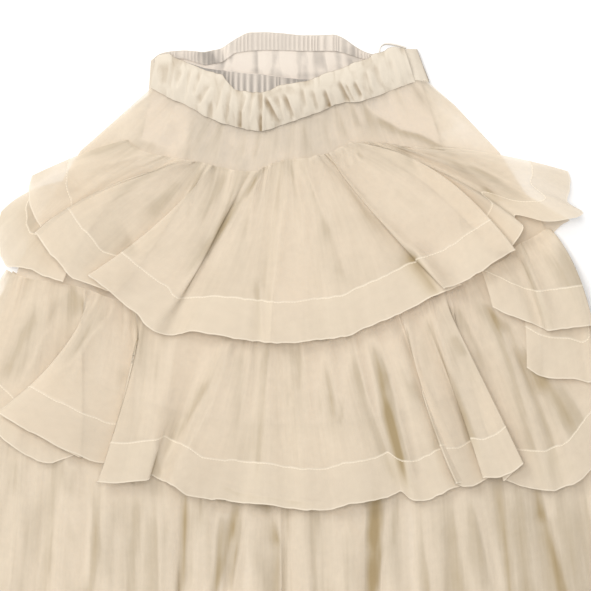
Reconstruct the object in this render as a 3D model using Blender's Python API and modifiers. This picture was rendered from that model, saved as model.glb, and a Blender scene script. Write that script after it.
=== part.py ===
"""A tiered tulle skirt with an elastic waistband, laid flat with its front up.

Table lengths are millimetres: x to the right of the centre front, down from the top of the waist, and lift above
whatever the layer lies on. The origin is under the middle of the skirt, on the surface it lies on.
"""

import math
from typing import NamedTuple

import bmesh
import bpy
import numpy as np

MM = 0.001
CENTRE_DOWN = 442.0  # from the top of the waist to the middle of the whole length
WALL = 1.0
SEAM_GAP = 0.35
BAND_WIDTH = 45.0
CASING_TUCK = 1.5
HIDDEN_EDGE = 4.0  # by which a panel's top edge goes under the edge that covers it
TURN_CLEARANCE = 3.0  # from the back band's turned end to the front base panel

BED_CELL = 6.0
BED_HALF = 480.0
BED_GROW = 5  # cells by which a layer's height spreads past its edge
BED_SMOOTH = 4  # passes that soften the spread edge, fewer than BED_GROW
DRAPE_LOFT = 1.5  # by which a folded layer floats over the softened bed, so that its flat faces clear it
BED_PARTS = 4  # places at which each face is tested against the layers below, each way

BEND_HEIGHT = 3.0  # of the round bend where a ruffle doubles back on itself
BEND_SPREAD = 0.3  # towards the next fold line, nearer the seam
FOLD_STEPS = 2  # columns of faces from one fold line to the next
RUFFLE_ROWS = 5

SIDE_FOLD_STEPS = 4  # the same on the two short ruffles at the sides, whose folds are far apart
SEAM_LIFT_SHARE = 0.3  # of a bottom fold's lift at its hem
MIDDLE_LIFT_SHARE = 0.85

BAND_GATHERS = 22
BAND_GATHER_COLUMNS = 4
BAND_GATHER_LIFT = 1.5
BAND_LOW_LIFT = 0.2
BAND_MIDDLE_SHARE = 0.72  # of the ridge's height, halfway down the front band
BAND_MIDDLE_PUFF = 1.0
BAND_SLANT = 6.0  # by which the front band's ridge starts to the right of its lower edge
BACK_BAND_COLUMNS = 30
BACK_BAND_SLANT = 3.0  # by which the back band's lower edge starts to the left of its top edge
BACK_BAND_END_WIDTH = 36.0  # at the right fold, where the gathers pull it narrower
BACK_BAND_TAPER = 4  # power with which it narrows towards that fold

CASING_GATHERS = 34
FRONT_CASING_GATHERS = 22
CASING_GATHER_COLUMNS = 3
CASING_GATHER_LIFT = 1.0
CASING_TOP_SHARE = 0.6  # of the gathers' lift, at the top of the back casing
CASING_DROP = 2.6  # below the ridge, which keeps the front casing clear of the band
FRONT_CASING_ENDS = (14.0, 8.0)  # in from the front band's left and right ends
BACK_CASING_ENDS = (4.0, 16.0)  # in from the back band's left and right ends
BACK_CASING_TUCK = 1.0

PANEL_COLUMNS = 16
LINING_BACK_COLUMNS = 20
LINING_BACK_TUCK = 2.0  # by which the lining goes up under its casing
LINING_FRONT_TUCK = 1.0
YOKE_GATHERS = 12
YOKE_GATHER_COLUMNS = 4
YOKE_GATHER_LIFT = 1.1
YOKE_GATHER_FADE = 0.5  # lost between the waist and the bottom of the front base panel
WAVE_LIFTS = (0, 0, 1)  # of one wave of a back ruffle: a flat trough and a crest
BACK_RUFFLE_ROWS = 3

LOOP_RADIUS = 1.1
LOOP_STEPS = 3
LOOP_BEVEL = 2


class Finish(NamedTuple):
    """A plain cloth's colour and roughness."""

    colour: tuple
    roughness: float


NET = Finish((0.80, 0.69, 0.50), 0.85)
BAND_COTTON = Finish((0.83, 0.73, 0.56), 0.7)
LINING_CLOTH = Finish((0.77, 0.70, 0.60), 0.6)
CASING_CLOTH = Finish((0.77, 0.70, 0.60), 0.65)
RIBBON = Finish((0.82, 0.76, 0.66), 0.5)


class Fold(NamedTuple):
    """One fold line of a ruffle, from its gathered seam past its middle to its hem."""

    seam_x: float
    seam_down: float
    seam_lift: float
    mid_x: float
    mid_down: float
    mid_lift: float
    hem_x: float
    hem_down: float
    hem_lift: float


class Waist(NamedTuple):
    """One section through the open waist, back to front."""

    x: float
    back_top: float  # upper edge of the back band and its casing
    back_low: float  # lower edge of the back casing, where the back lining starts
    front_low: float  # lower edge of the front casing, where the front lining starts
    ridge: float  # top edge of the front band
    band_low: float  # lower edge of the front band
    ridge_lift: float


class Section(NamedTuple):
    """One section across a panel, with the curve of its middle."""

    left_x: float
    left_down: float
    right_x: float
    right_down: float
    sag: float


class Turn(NamedTuple):
    """One line of the back band's end, as it comes up round the right fold and over to the side seam."""

    edge: tuple  # x and down of its top and lower ends
    past: float  # further right
    top_height: float
    low_height: float


class BackRuffle(NamedTuple):
    """A back ruffle, spread on the surface: its seam, its hem and its waves."""

    seam: Section
    hem: Section
    waves: int
    wave_lift: float
    scallop: float


# x, back_top, back_low, front_low, ridge, band_low, ridge_lift
WAIST = (
    Waist(-181, 36, 42, 44, 40, 70, 4),
    Waist(-169, 27, 34, 37, 31, 77, 7),
    Waist(-156, 24, 33, 36, 30, 84, 9),
    Waist(-138, 23, 34, 38, 39, 91, 11),
    Waist(-113, 25, 42, 46, 49, 106, 14),
    Waist(-91, 20, 38, 49, 57, 115, 16),
    Waist(-76, 9, 27, 51, 73, 119, 17),
    Waist(-60, 1, 24, 53, 78, 123, 18),
    Waist(-41, 0, 23, 54, 78, 125, 18),
    Waist(-20, 1, 23, 57, 70, 119, 17),
    Waist(6, 4, 24, 60, 65, 109, 16),
    Waist(31, 4, 24, 61, 58, 101, 15),
    Waist(50, 3, 24, 60, 51, 92, 14),
    Waist(63, 9, 27, 56, 46, 89, 13),
    Waist(81, 22, 33, 50, 39, 88, 12),
    Waist(100, 29, 37, 42, 30, 82, 10),
    Waist(116, 26, 34, 35, 24, 76, 8),
    Waist(133, 22, 32, 33, 21, 69, 6),
)
SIDE_SEAM = ((135, 22), (149, 56))  # where the front band ends at the right, from its top edge to its lower edge
RIGHT_END = ((151, 22), (166, 58))  # the fold where the back band comes round
# edge, past, top_height, low_height
BAND_TURN = (
    Turn(RIGHT_END, 2, 5, 5),
    Turn(RIGHT_END, 0, 10, 10),
    Turn(SIDE_SEAM, 1, 15, 13),
)

LOOP_ROUTE = (
    (108, 31, 12),
    (106, 26, 12),
    (107, 20, 12),
    (112, 16, 12.2),
    (120, 16, 12.5),
    (130, 18, 13),
    (139, 21, 13.2),
)  # x, down, height

# left_x, left_down, right_x, right_down, sag
BASE = (
    Section(-177, 66, 164, 61, 52),
    Section(-219, 105, 200, 92, 68),
    Section(-269, 149, 256, 151, 80),
    Section(-325, 240, 306, 230, 93),
    Section(-365, 345, 350, 335, 98),
    Section(-394, 455, 391, 446, 98),
)
LINING = (
    Section(-172, 60, 147, 58, 30),
    Section(-190, 124, 178, 124, 40),
    Section(-214, 225, 204, 225, 46),
    Section(-236, 340, 226, 340, 50),
    Section(-250, 440, 240, 440, 52),
)

BOTTOM_SEAM = Section(-394, 455, 391, 446, 98)
BOTTOM_HEM = Section(-446, 842, 444, 838, 42)

# seam, hem, waves, wave_lift, scallop
BACK_TOP = BackRuffle(Section(-209, 137, 194, 149, 46), Section(-341, 250, 345, 236, 170), 14, 2.0, 5.0)
BACK_MIDDLE = BackRuffle(Section(-354, 300, 308, 262, 108), Section(-424, 440, 420, 424, 178), 18, 2.0, 6.0)
BACK_BOTTOM = BackRuffle(BOTTOM_SEAM, Section(-438, 838, 436, 834, 40), 20, 2.0, 5.0)

# seam x, down, lift; middle x, down, lift; hem x, down, lift
RUFFLE_TOP = (
    Fold(-209, 135, 0, -262, 152, 0.5, -330, 182, 1),
    Fold(-205, 141, 2, -266, 180, 4, -332, 211, 7),
    Fold(-190, 150, 1, -258, 196, 4, -317, 250, 6),
    Fold(-164, 156, 1, -243, 201, 3, -304, 268, 3),
    Fold(-145, 159, 0, -230, 212, 1, -284, 289, 2),
    Fold(-130, 163, 4, -242, 201, 12, -321, 256, 16),
    Fold(-127, 164, 3, -221, 221, 13, -300, 284, 17),
    Fold(-123, 163, 1, -200, 241, 9, -276, 309, 13),
    Fold(-115, 164, 1, -171, 256, 4, -229, 326, 4),
    Fold(-106, 167, 6, -169, 241, 15, -254, 308, 20),
    Fold(-99, 169, 3, -144, 259, 14, -231, 325, 19),
    Fold(-90, 170, 1, -128, 270, 11, -206, 346, 17),
    Fold(-75, 174, 3, -110, 274, 9, -180, 371, 13),
    Fold(-49, 175, 0, -101, 262, 2, -155, 380, 3),
    Fold(-41, 171, 3, -79, 276, 9, -132, 375, 11),
    Fold(-35, 169, 1, -61, 279, 10, -100, 379, 12),
    Fold(-28, 165, 3, -46, 281, 9, -65, 386, 11),
    Fold(-20, 163, 1, -34, 283, 6, -43, 388, 6),
    Fold(-13, 161, 3, -21, 283, 9, -26, 390, 11),
    Fold(-3, 160, 1, 3, 276, 10, 6, 390, 12),
    Fold(9, 159, 3, 25, 271, 8, 38, 385, 10),
    Fold(19, 158, 1, 46, 265, 10, 66, 380, 13),
    Fold(26, 155, 3, 69, 256, 9, 96, 368, 11),
    Fold(31, 155, 1, 89, 246, 7, 131, 353, 8),
    Fold(35, 154, 2, 105, 243, 3, 165, 336, 3),
    Fold(39, 153, 0, 121, 241, 2, 204, 318, 3),
    Fold(43, 153, 4, 96, 221, 12, 189, 321, 15),
    Fold(48, 150, 3, 121, 219, 12, 210, 314, 16),
    Fold(54, 146, 2, 141, 208, 12, 234, 300, 14),
    Fold(61, 143, 4, 156, 194, 14, 254, 286, 17),
    Fold(69, 139, 8, 171, 176, 18, 270, 275, 22),
    Fold(75, 139, 3, 166, 191, 9, 249, 276, 11),
    Fold(83, 138, 0, 181, 186, 2, 269, 269, 2),
    Fold(91, 138, 3, 196, 184, 8, 284, 246, 9),
    Fold(104, 139, 1, 209, 186, 3, 275, 229, 4),
    Fold(116, 140, 3, 225, 186, 7, 316, 238, 8),
    Fold(131, 143, 1, 244, 184, 9, 359, 229, 12),
    Fold(148, 145, 3, 253, 174, 7, 341, 215, 9),
    Fold(163, 146, 1, 263, 165, 5, 345, 194, 7),
    Fold(178, 143, 0, 266, 157, 0.5, 341, 175, 1),
)

RUFFLE_TOP_SIDE = (
    Fold(-276, 184, 0, -331, 199, 0.5, -369, 226, 1),
    Fold(-272, 192, 1, -330, 218, 3, -374, 258, 4),
    Fold(-266, 200, 0, -322, 240, 2, -362, 292, 2),
    Fold(-258, 208, 1, -307, 254, 4, -340, 295, 5),
    Fold(-250, 216, 0, -290, 262, 2, -315, 306, 2),
    Fold(-242, 224, 0, -270, 270, 1, -290, 314, 1),
)

RUFFLE_MIDDLE = (
    Fold(-362, 298, 0, -396, 361, 0.5, -421, 434, 1),
    Fold(-350, 304, 2, -376, 380, 5, -412, 467, 8),
    Fold(-330, 310, 0, -352, 392, 3, -388, 490, 4),
    Fold(-310, 313, 2, -326, 408, 6, -350, 520, 6),
    Fold(-292, 316, 1, -304, 424, 3, -309, 540, 2),
    Fold(-268, 320, 0, -270, 420, 1, -276, 530, 2),
    Fold(-248, 327, 7, -291, 405, 15, -365, 480, 18),
    Fold(-236, 332, 5, -268, 421, 14, -331, 499, 18),
    Fold(-226, 335, 3, -247, 436, 10, -294, 520, 14),
    Fold(-215, 338, 1, -222, 448, 5, -250, 538, 5),
    Fold(-203, 341, 0, -203, 450, 2, -220, 544, 2),
    Fold(-192, 343, 4, -211, 449, 14, -244, 564, 17),
    Fold(-180, 346, 2, -192, 455, 12, -216, 565, 14),
    Fold(-160, 351, 3, -168, 452, 12, -188, 562, 14),
    Fold(-126, 355, 1, -146, 448, 8, -178, 556, 9),
    Fold(-98, 358, 0, -126, 450, 2, -166, 562, 2),
    Fold(-76, 360, 3, -104, 440, 11, -152, 567, 13),
    Fold(-66, 361, 1, -86, 461, 11, -131, 581, 14),
    Fold(-54, 362, 3, -66, 468, 9, -98, 585, 11),
    Fold(-44, 362, 1, -52, 471, 7, -68, 590, 8),
    Fold(-34, 362, 3, -37, 474, 12, -41, 592, 13),
    Fold(-19, 362, 1, -16, 475, 8, -12, 595, 9),
    Fold(-4, 362, 3, 6, 476, 11, 16, 598, 12),
    Fold(11, 362, 1, 29, 476, 8, 44, 597, 9),
    Fold(26, 361, 3, 51, 474, 11, 71, 591, 13),
    Fold(41, 360, 1, 69, 468, 10, 100, 586, 12),
    Fold(60, 357, 2, 86, 461, 6, 122, 581, 6),
    Fold(71, 356, 0, 99, 464, 2, 134, 576, 2),
    Fold(82, 355, 3, 113, 467, 9, 148, 587, 11),
    Fold(96, 352, 1, 131, 464, 8, 168, 585, 9),
    Fold(112, 348, 3, 150, 456, 10, 191, 574, 11),
    Fold(126, 345, 0, 168, 452, 2, 216, 564, 1),
    Fold(134, 343, 6, 162, 459, 14, 203, 566, 17),
    Fold(144, 340, 1, 178, 455, 11, 219, 569, 12),
    Fold(156, 336, 0, 196, 449, 2, 243, 559, 1),
    Fold(166, 332, 5, 197, 452, 13, 236, 559, 16),
    Fold(172, 329, 4, 212, 442, 15, 260, 556, 18),
    Fold(181, 326, 7, 228, 426, 18, 282, 542, 22),
    Fold(196, 320, 2, 226, 446, 9, 263, 561, 9),
    Fold(209, 315, 0, 254, 451, 2, 294, 572, 1),
    Fold(221, 309, 3, 281, 446, 11, 321, 575, 12),
    Fold(234, 302, 1, 300, 446, 6, 339, 570, 6),
    Fold(244, 296, 3, 314, 442, 10, 359, 559, 11),
    Fold(256, 289, 1, 331, 430, 6, 381, 534, 6),
    Fold(269, 281, 2, 350, 411, 7, 400, 511, 8),
    Fold(284, 274, 0, 369, 368, 0.5, 419, 461, 1),
)

RUFFLE_MIDDLE_SIDE = (
    Fold(275, 284, 0, 286, 349, 1, 289, 421, 1),
    Fold(288, 276, 0, 308, 349, 2, 310, 432, 3),
    Fold(303, 272, 0, 331, 348, 1, 345, 435, 2),
    Fold(322, 252, 0, 354, 330, 2, 376, 433, 3),
    Fold(317, 246, 3, 346, 291, 12, 369, 368, 14),
    Fold(300, 256, 5, 334, 312, 13, 354, 370, 15),
    Fold(289, 262, 4, 318, 320, 12, 334, 372, 14),
    Fold(277, 269, 5, 299, 323, 12, 314, 374, 14),
    Fold(264, 284, 4, 290, 326, 7, 306, 371, 8),
    Fold(254, 289, 6, 274, 324, 10, 288, 363, 11),
    Fold(244, 294, 5, 256, 321, 9, 263, 353, 10),
    Fold(233, 299, 4, 239, 318, 7, 246, 344, 8),
)

# seam_x, hem_x and lift; the seam and the hem follow their own arcs
BOTTOM_FOLDS = (
    (-394, -446, 0.5),
    (-375, -422, 9),
    (-354, -394, 3),
    (-331, -364, 11),
    (-309, -334, 3),
    (-284, -306, 12),
    (-259, -272, 3),
    (-234, -241, 10),
    (-209, -206, 4),
    (-181, -170, 13),
    (-161, -158, 11),
    (-136, -144, 1),
    (-114, -121, 12),
    (-90, -108, 10),
    (-66, -101, 1),
    (-50, -76, 12),
    (-33, -24, 2),
    (-20, -12, 9),
    (-10, -4, 2),
    (8, 14, 12),
    (26, 31, 8),
    (44, 54, 12),
    (66, 76, 11),
    (94, 98, 0.5),
    (116, 120, 12),
    (138, 150, 4),
    (162, 181, 12),
    (190, 209, 6),
    (214, 240, 12),
    (240, 268, 3),
    (264, 300, 12),
    (290, 345, 2),
    (316, 370, 11),
    (342, 398, 3),
    (368, 424, 8),
    (391, 444, 0.5),
)


def clear_scene():
    for item in list(bpy.data.objects):
        bpy.data.objects.remove(item, do_unlink=True)


def between(low, high, share):
    return low + (high - low) * share


def smooth_through(lines, steps):
    """A Catmull-Rom curve through the first axis of lines, with this many steps to each gap."""
    first = 2 * lines[:1] - lines[1:2]
    last = 2 * lines[-1:] - lines[-2:-1]
    held = np.concatenate([first, lines, last])
    found = []
    for index in range(len(lines) - 1):
        before, start, end, after = held[index : index + 4]
        for step in range(steps):
            share = step / steps
            found.append(
                0.5
                * (
                    2 * start
                    + (end - before) * share
                    + (2 * before - 5 * start + 4 * end - after) * share**2
                    + (3 * start - before - 3 * end + after) * share**3
                )
            )
    found.append(lines[-1])
    return np.array(found)


def through_three(seam, middle, hem, share):
    """The parabola through three points, at 0, a half and 1."""
    return seam * (1 - share) * (1 - 2 * share) + middle * 4 * share * (1 - share) + hem * share * (2 * share - 1)


def with_round_bends(table):
    """The fold lines, with each one at which the hem doubles back made two: one over the other where the ruffle
    really doubles back, and side by side nearer the seam, where it doesn't yet."""
    found = [table[0]]
    for before, line, after in zip(table, table[1:], table[2:]):
        along = line[-1, :2] - line[0, :2]
        turns = np.cross((line - before)[:, :2], along) * np.cross((after - line)[:, :2], along) < 0
        if not turns[-1]:
            found.append(line)
            continue
        arriving, leaving = line[-1, 2] - before[-1, 2], after[-1, 2] - line[-1, 2]
        first = between(line, before, BEND_SPREAD)
        second = between(line, after, BEND_SPREAD)
        first[turns] = second[turns] = line[turns]
        if abs(leaving) > abs(arriving):
            second[turns, 2] += math.copysign(BEND_HEIGHT, leaving)
        else:
            first[turns, 2] -= math.copysign(BEND_HEIGHT, arriving)
        found += [first, second]
    return np.maximum(np.array(found + [table[-1]]), [-np.inf, -np.inf, 0])


def draped(folds, steps=FOLD_STEPS, rows=RUFFLE_ROWS):
    """A ruffle's surface as x, down and lift: columns across it, rows from its seam to its hem."""
    table = with_round_bends(np.array(folds, float).reshape(len(folds), 3, 3))
    shares = np.linspace(0, 1, rows + 1)
    lines = np.stack(
        [through_three(table[:, 0], table[:, 1], table[:, 2], share) for share in shares], axis=1
    )
    return smooth_through(lines, steps)


def section_point(section, share):
    """A point of a panel's section at a share of its width: x and down."""
    bow = section.sag * 4 * share * (1 - share)
    return between(section.left_x, section.right_x, share), between(section.left_down, section.right_down, share) + bow


def arc_down(section, x):
    """How far down a section's curve lies at x."""
    return section_point(section, (x - section.left_x) / (section.right_x - section.left_x))[1]


def panel(sections, columns, lift_at, top_edge=None):
    """A plain panel through its sections. lift_at gives the lift at a share across and a share down."""
    rows = len(sections)
    grid = np.zeros((columns + 1, rows, 3))
    for column in range(columns + 1):
        across = column / columns
        for row, section in enumerate(sections):
            x, down = section_point(section, across)
            if row == 0 and top_edge is not None:
                down = top_edge(x)
            grid[column, row] = x, down, lift_at(across, row / (rows - 1))
    return grid


def back_ruffle(ruffle, rows=BACK_RUFFLE_ROWS):
    """A back ruffle, whose waves grow from its seam to its hem and never dip below the surface it lies on."""
    columns = len(WAVE_LIFTS) * ruffle.waves
    grid = np.zeros((columns + 1, rows + 1, 3))
    for column in range(columns + 1):
        across = column / columns
        crest = WAVE_LIFTS[column % len(WAVE_LIFTS)]
        seam = np.array(section_point(ruffle.seam, across))
        hem = np.array(section_point(ruffle.hem, across))
        for row in range(rows + 1):
            fall = row / rows
            x, down = between(seam, hem, fall)
            grid[column, row] = x, down - ruffle.scallop * crest * fall, ruffle.wave_lift * crest * fall
    return grid


def bottom_folds():
    """The bottom tier's fold lines, straight down between the arcs of its seam and its hem."""
    found = []
    for seam_x, hem_x, lift in BOTTOM_FOLDS:
        seam_down = arc_down(BOTTOM_SEAM, seam_x)
        hem_down = arc_down(BOTTOM_HEM, hem_x)
        found.append(
            Fold(
                seam_x,
                seam_down,
                SEAM_LIFT_SHARE * lift,
                between(seam_x, hem_x, 0.5),
                between(seam_down, hem_down, 0.5),
                MIDDLE_LIFT_SHARE * lift,
                hem_x,
                hem_down,
                lift,
            )
        )
    return found


class Bed:
    """How high the layers laid so far reach over the surface, on a square grid of cells."""

    def __init__(self):
        self.count = int(2 * BED_HALF / BED_CELL) + 1
        self.top = np.zeros((self.count, self.count))

    def place(self, x, down):
        """The grid place of points, in cells."""
        return (x + BED_HALF) / BED_CELL, (down - CENTRE_DOWN + BED_HALF) / BED_CELL

    def smoothed(self):
        """The heights, spread past each layer's edge and then softened by less than that."""
        field = self.top
        for _ in range(BED_GROW):
            field = np.maximum.reduce([np.roll(np.roll(field, i, 0), j, 1) for i in (-1, 0, 1) for j in (-1, 0, 1)])
        for _ in range(BED_SMOOTH):
            for axis in (0, 1):
                field = (np.roll(field, 1, axis) + field + np.roll(field, -1, axis)) / 3
        return field

    def under(self, x, down):
        """The height that a point at x and down lies on."""
        field = self.smoothed()
        column, row = self.place(x, down)
        column = np.clip(column, 0, self.count - 2)
        row = np.clip(row, 0, self.count - 2)
        i, j = column.astype(int), row.astype(int)
        s, t = column - i, row - j
        near = between(field[i, j], field[i + 1, j], s)
        far = between(field[i, j + 1], field[i + 1, j + 1], s)
        return between(near, far, t)

    def settle(self, grid):
        """The same surface with its lift turned into height. Each point clears all that lies under its own faces."""
        fine = refined(grid, BED_PARTS)
        heights = self.under(fine[..., 0], fine[..., 1])
        for axis in (0, 1):
            padding = [(BED_PARTS, BED_PARTS) if side == axis else (0, 0) for side in (0, 1)]
            padded = np.pad(heights, padding, mode="edge")
            windows = np.lib.stride_tricks.sliding_window_view(padded, 2 * BED_PARTS + 1, axis)
            heights = np.moveaxis(np.moveaxis(windows.max(axis=-1), axis, 0)[::BED_PARTS], 0, axis)
        laid = grid.copy()
        laid[..., 2] += heights + WALL / 2
        return laid

    def cover(self, laid):
        """Raises the cells under a laid surface to its upper side and a seam gap more."""
        fine = refined(laid, 2 * BED_PARTS)
        column, row = self.place(fine[..., 0], fine[..., 1])
        i = np.clip(np.rint(column).astype(int), 0, self.count - 1)
        j = np.clip(np.rint(row).astype(int), 0, self.count - 1)
        np.maximum.at(self.top, (i, j), fine[..., 2] + WALL / 2 + SEAM_GAP)

    def lay(self, grid):
        laid = self.settle(grid)
        self.cover(laid)
        return laid

    def seat(self, grid, laid, row):
        """Brings one row of a laid surface, its sewn edge, down to a seam gap from what is right under it."""
        column, line = self.place(grid[:, row, 0], grid[:, row, 1])
        i = np.clip(np.rint(column).astype(int), 1, self.count - 2)
        j = np.clip(np.rint(line).astype(int), 1, self.count - 2)
        under = np.maximum.reduce([self.top[i + a, j + b] for a in (-1, 0, 1) for b in (-1, 0, 1)])
        laid[:, row, 2] = grid[:, row, 2] + under + WALL / 2

    def drape(self, grid):
        """Lays a folded surface, whose own layers keep their order because each point reads only its own place."""
        laid = grid.copy()
        laid[..., 2] += self.under(grid[..., 0], grid[..., 1]) + WALL / 2 + DRAPE_LOFT
        self.seat(grid, laid, 0)
        self.cover(laid)
        return laid


def refined(grid, parts):
    """The surface with each face cut into this many parts each way."""
    for _ in range(2):
        places = np.arange((len(grid) - 1) * parts + 1) / parts
        low = np.minimum(places.astype(int), len(grid) - 2)
        share = (places - low)[:, None, None]
        grid = between(grid[low], grid[low + 1], share).transpose(1, 0, 2)
    return grid


class Closet:
    """Makes the skirt's objects, each in the skirt's collection with a material of its own."""

    def __init__(self):
        self.collection = bpy.data.collections.new("tulle_skirt")
        bpy.context.scene.collection.children.link(self.collection)

    def material(self, name, finish):
        made = bpy.data.materials.new(name)
        made.use_nodes = True
        shader = made.node_tree.nodes["Principled BSDF"]
        shader.inputs["Base Color"].default_value = (*finish.colour, 1.0)
        shader.inputs["Roughness"].default_value = finish.roughness
        shader.inputs["Metallic"].default_value = 0.0
        return made

    def cloth(self, name, laid, finish):
        """A cloth wall: a grid laid on the surface's points, then given its thickness."""
        columns, rows = laid.shape[:2]
        shape = bmesh.new()
        bmesh.ops.create_grid(shape, x_segments=columns - 1, y_segments=rows - 1, size=1.0)
        for vert in shape.verts:
            column = round((vert.co.x + 1) / 2 * (columns - 1))
            row = round((1 - vert.co.y) / 2 * (rows - 1))
            x, down, height = laid[column, row]
            vert.co = (x * MM, (CENTRE_DOWN - down) * MM, height * MM)
        bmesh.ops.triangulate(shape, faces=shape.faces[:])
        mesh = bpy.data.meshes.new(name)
        shape.to_mesh(mesh)
        shape.free()
        mesh.shade_smooth()
        item = bpy.data.objects.new(name, mesh)
        item.data.materials.append(self.material(name, finish))
        self.collection.objects.link(item)
        wall = item.modifiers.new("wall", "SOLIDIFY")
        wall.thickness = WALL * MM
        wall.offset = 0.0
        wall.use_rim = True
        return item

    def ribbon(self, name, route, finish):
        """A thin round loop along a smooth route."""
        curve = bpy.data.curves.new(name, "CURVE")
        curve.dimensions = "3D"
        curve.bevel_depth = LOOP_RADIUS * MM
        curve.bevel_resolution = LOOP_BEVEL
        curve.use_fill_caps = True
        points = smooth_through(np.array(route, float), LOOP_STEPS)
        spline = curve.splines.new("POLY")
        spline.points.add(len(points) - 1)
        for point, (x, down, height) in zip(spline.points, points):
            point.co = (x * MM, (CENTRE_DOWN - down) * MM, height * MM, 1.0)
        item = bpy.data.objects.new(name, curve)
        item.data.materials.append(self.material(name, finish))
        self.collection.objects.link(item)
        return item


def waist_at(x, field):
    """A value of the waist table at x, on straight steps between its sections."""
    places = [section.x for section in WAIST]
    return np.interp(x, places, [getattr(section, field) for section in WAIST])


def gather(count, across):
    """A gathered edge's wave, from 0 to 1."""
    return 0.5 - 0.5 * math.cos(2 * math.pi * count * across)


def front_band():
    """The front band, from its ridge down to the yoke, ending at the right side seam."""
    columns = BAND_GATHERS * BAND_GATHER_COLUMNS
    left = WAIST[0]
    grid = np.zeros((columns + 1, 3, 3))
    for column in range(columns + 1):
        across = column / columns
        top_x = between(left.x + BAND_SLANT, SIDE_SEAM[0][0], across)
        low_x = between(left.x, SIDE_SEAM[1][0], across)
        crease = BAND_GATHER_LIFT * gather(BAND_GATHERS, across)
        ridge = waist_at(top_x, "ridge_lift")
        grid[column, 0] = top_x, waist_at(top_x, "ridge"), ridge
        grid[column, 2] = low_x, waist_at(low_x, "band_low"), BAND_LOW_LIFT + crease
        grid[column, 1] = between(grid[column, 0], grid[column, 2], 0.5)
        grid[column, 1, 2] = BAND_MIDDLE_SHARE * ridge + BAND_MIDDLE_PUFF + crease
    return grid


def front_casing():
    """The front casing, from just under the ridge down to the top of the front lining."""
    columns = FRONT_CASING_GATHERS * CASING_GATHER_COLUMNS
    grid = np.zeros((columns + 1, 2, 3))
    for column in range(columns + 1):
        across = column / columns
        x = between(WAIST[0].x + FRONT_CASING_ENDS[0], SIDE_SEAM[0][0] - FRONT_CASING_ENDS[1], across)
        ridge = waist_at(x, "ridge_lift")
        crease = CASING_GATHER_LIFT * gather(FRONT_CASING_GATHERS, across)
        grid[column, 0] = x, waist_at(x, "ridge") + CASING_TUCK, ridge - CASING_DROP
        grid[column, 1] = x, waist_at(x, "front_low"), crease
    return grid


def back_casing():
    """The back casing, gathered tightly by its elastic."""
    columns = CASING_GATHERS * CASING_GATHER_COLUMNS
    grid = np.zeros((columns + 1, 2, 3))
    for column in range(columns + 1):
        across = column / columns
        x = between(WAIST[0].x + BACK_CASING_ENDS[0], RIGHT_END[0][0] - BACK_CASING_ENDS[1], across)
        crease = CASING_GATHER_LIFT * gather(CASING_GATHERS, across)
        grid[column, 0] = x, waist_at(x, "back_top") + BACK_CASING_TUCK, CASING_TOP_SHARE * crease
        grid[column, 1] = x, waist_at(x, "back_low"), crease
    return grid


def back_band():
    """The back band, flat on the surface, with its right end turned up and over to the side seam."""
    lines = []
    for column in range(BACK_BAND_COLUMNS + 1):
        across = column / BACK_BAND_COLUMNS
        top_x = between(WAIST[0].x, RIGHT_END[0][0], across)
        low_x = between(WAIST[0].x - BACK_BAND_SLANT, RIGHT_END[1][0], across)
        top_down = waist_at(top_x, "back_top")
        width = between(BAND_WIDTH, BACK_BAND_END_WIDTH, across**BACK_BAND_TAPER)
        lines.append([(top_x, top_down, 0), (low_x, top_down + width, 0)])
    for turn in BAND_TURN:
        (top_x, top_down), (low_x, low_down) = turn.edge
        lines.append([(top_x + turn.past, top_down, turn.top_height), (low_x + turn.past, low_down, turn.low_height)])
    return np.array(lines, float)


def under_back_band(x):
    """Where the back base panel starts, out of sight under the back band's lower edge."""
    return waist_at(x, "back_top") + BAND_WIDTH - HIDDEN_EDGE


def under_front_band(x):
    """Where the front base panel starts: out of sight under the front band, and just clear of the turned end."""
    if x > SIDE_SEAM[1][0]:
        return RIGHT_END[1][1] + TURN_CLEARANCE
    return waist_at(x, "band_low") - HIDDEN_EDGE


def lining_back_top(x):
    return waist_at(x, "back_low") - LINING_BACK_TUCK


def lining_front_top(x):
    return waist_at(x, "front_low") - LINING_FRONT_TUCK


def level(across, fall):
    """The lift of a panel that lies smooth."""
    return 0


def yoke_wave(across, fall):
    """The lift of the front base panel, gathered at the waist."""
    return YOKE_GATHER_LIFT * gather(YOKE_GATHERS, across) * (1 - YOKE_GATHER_FADE * fall)


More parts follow.
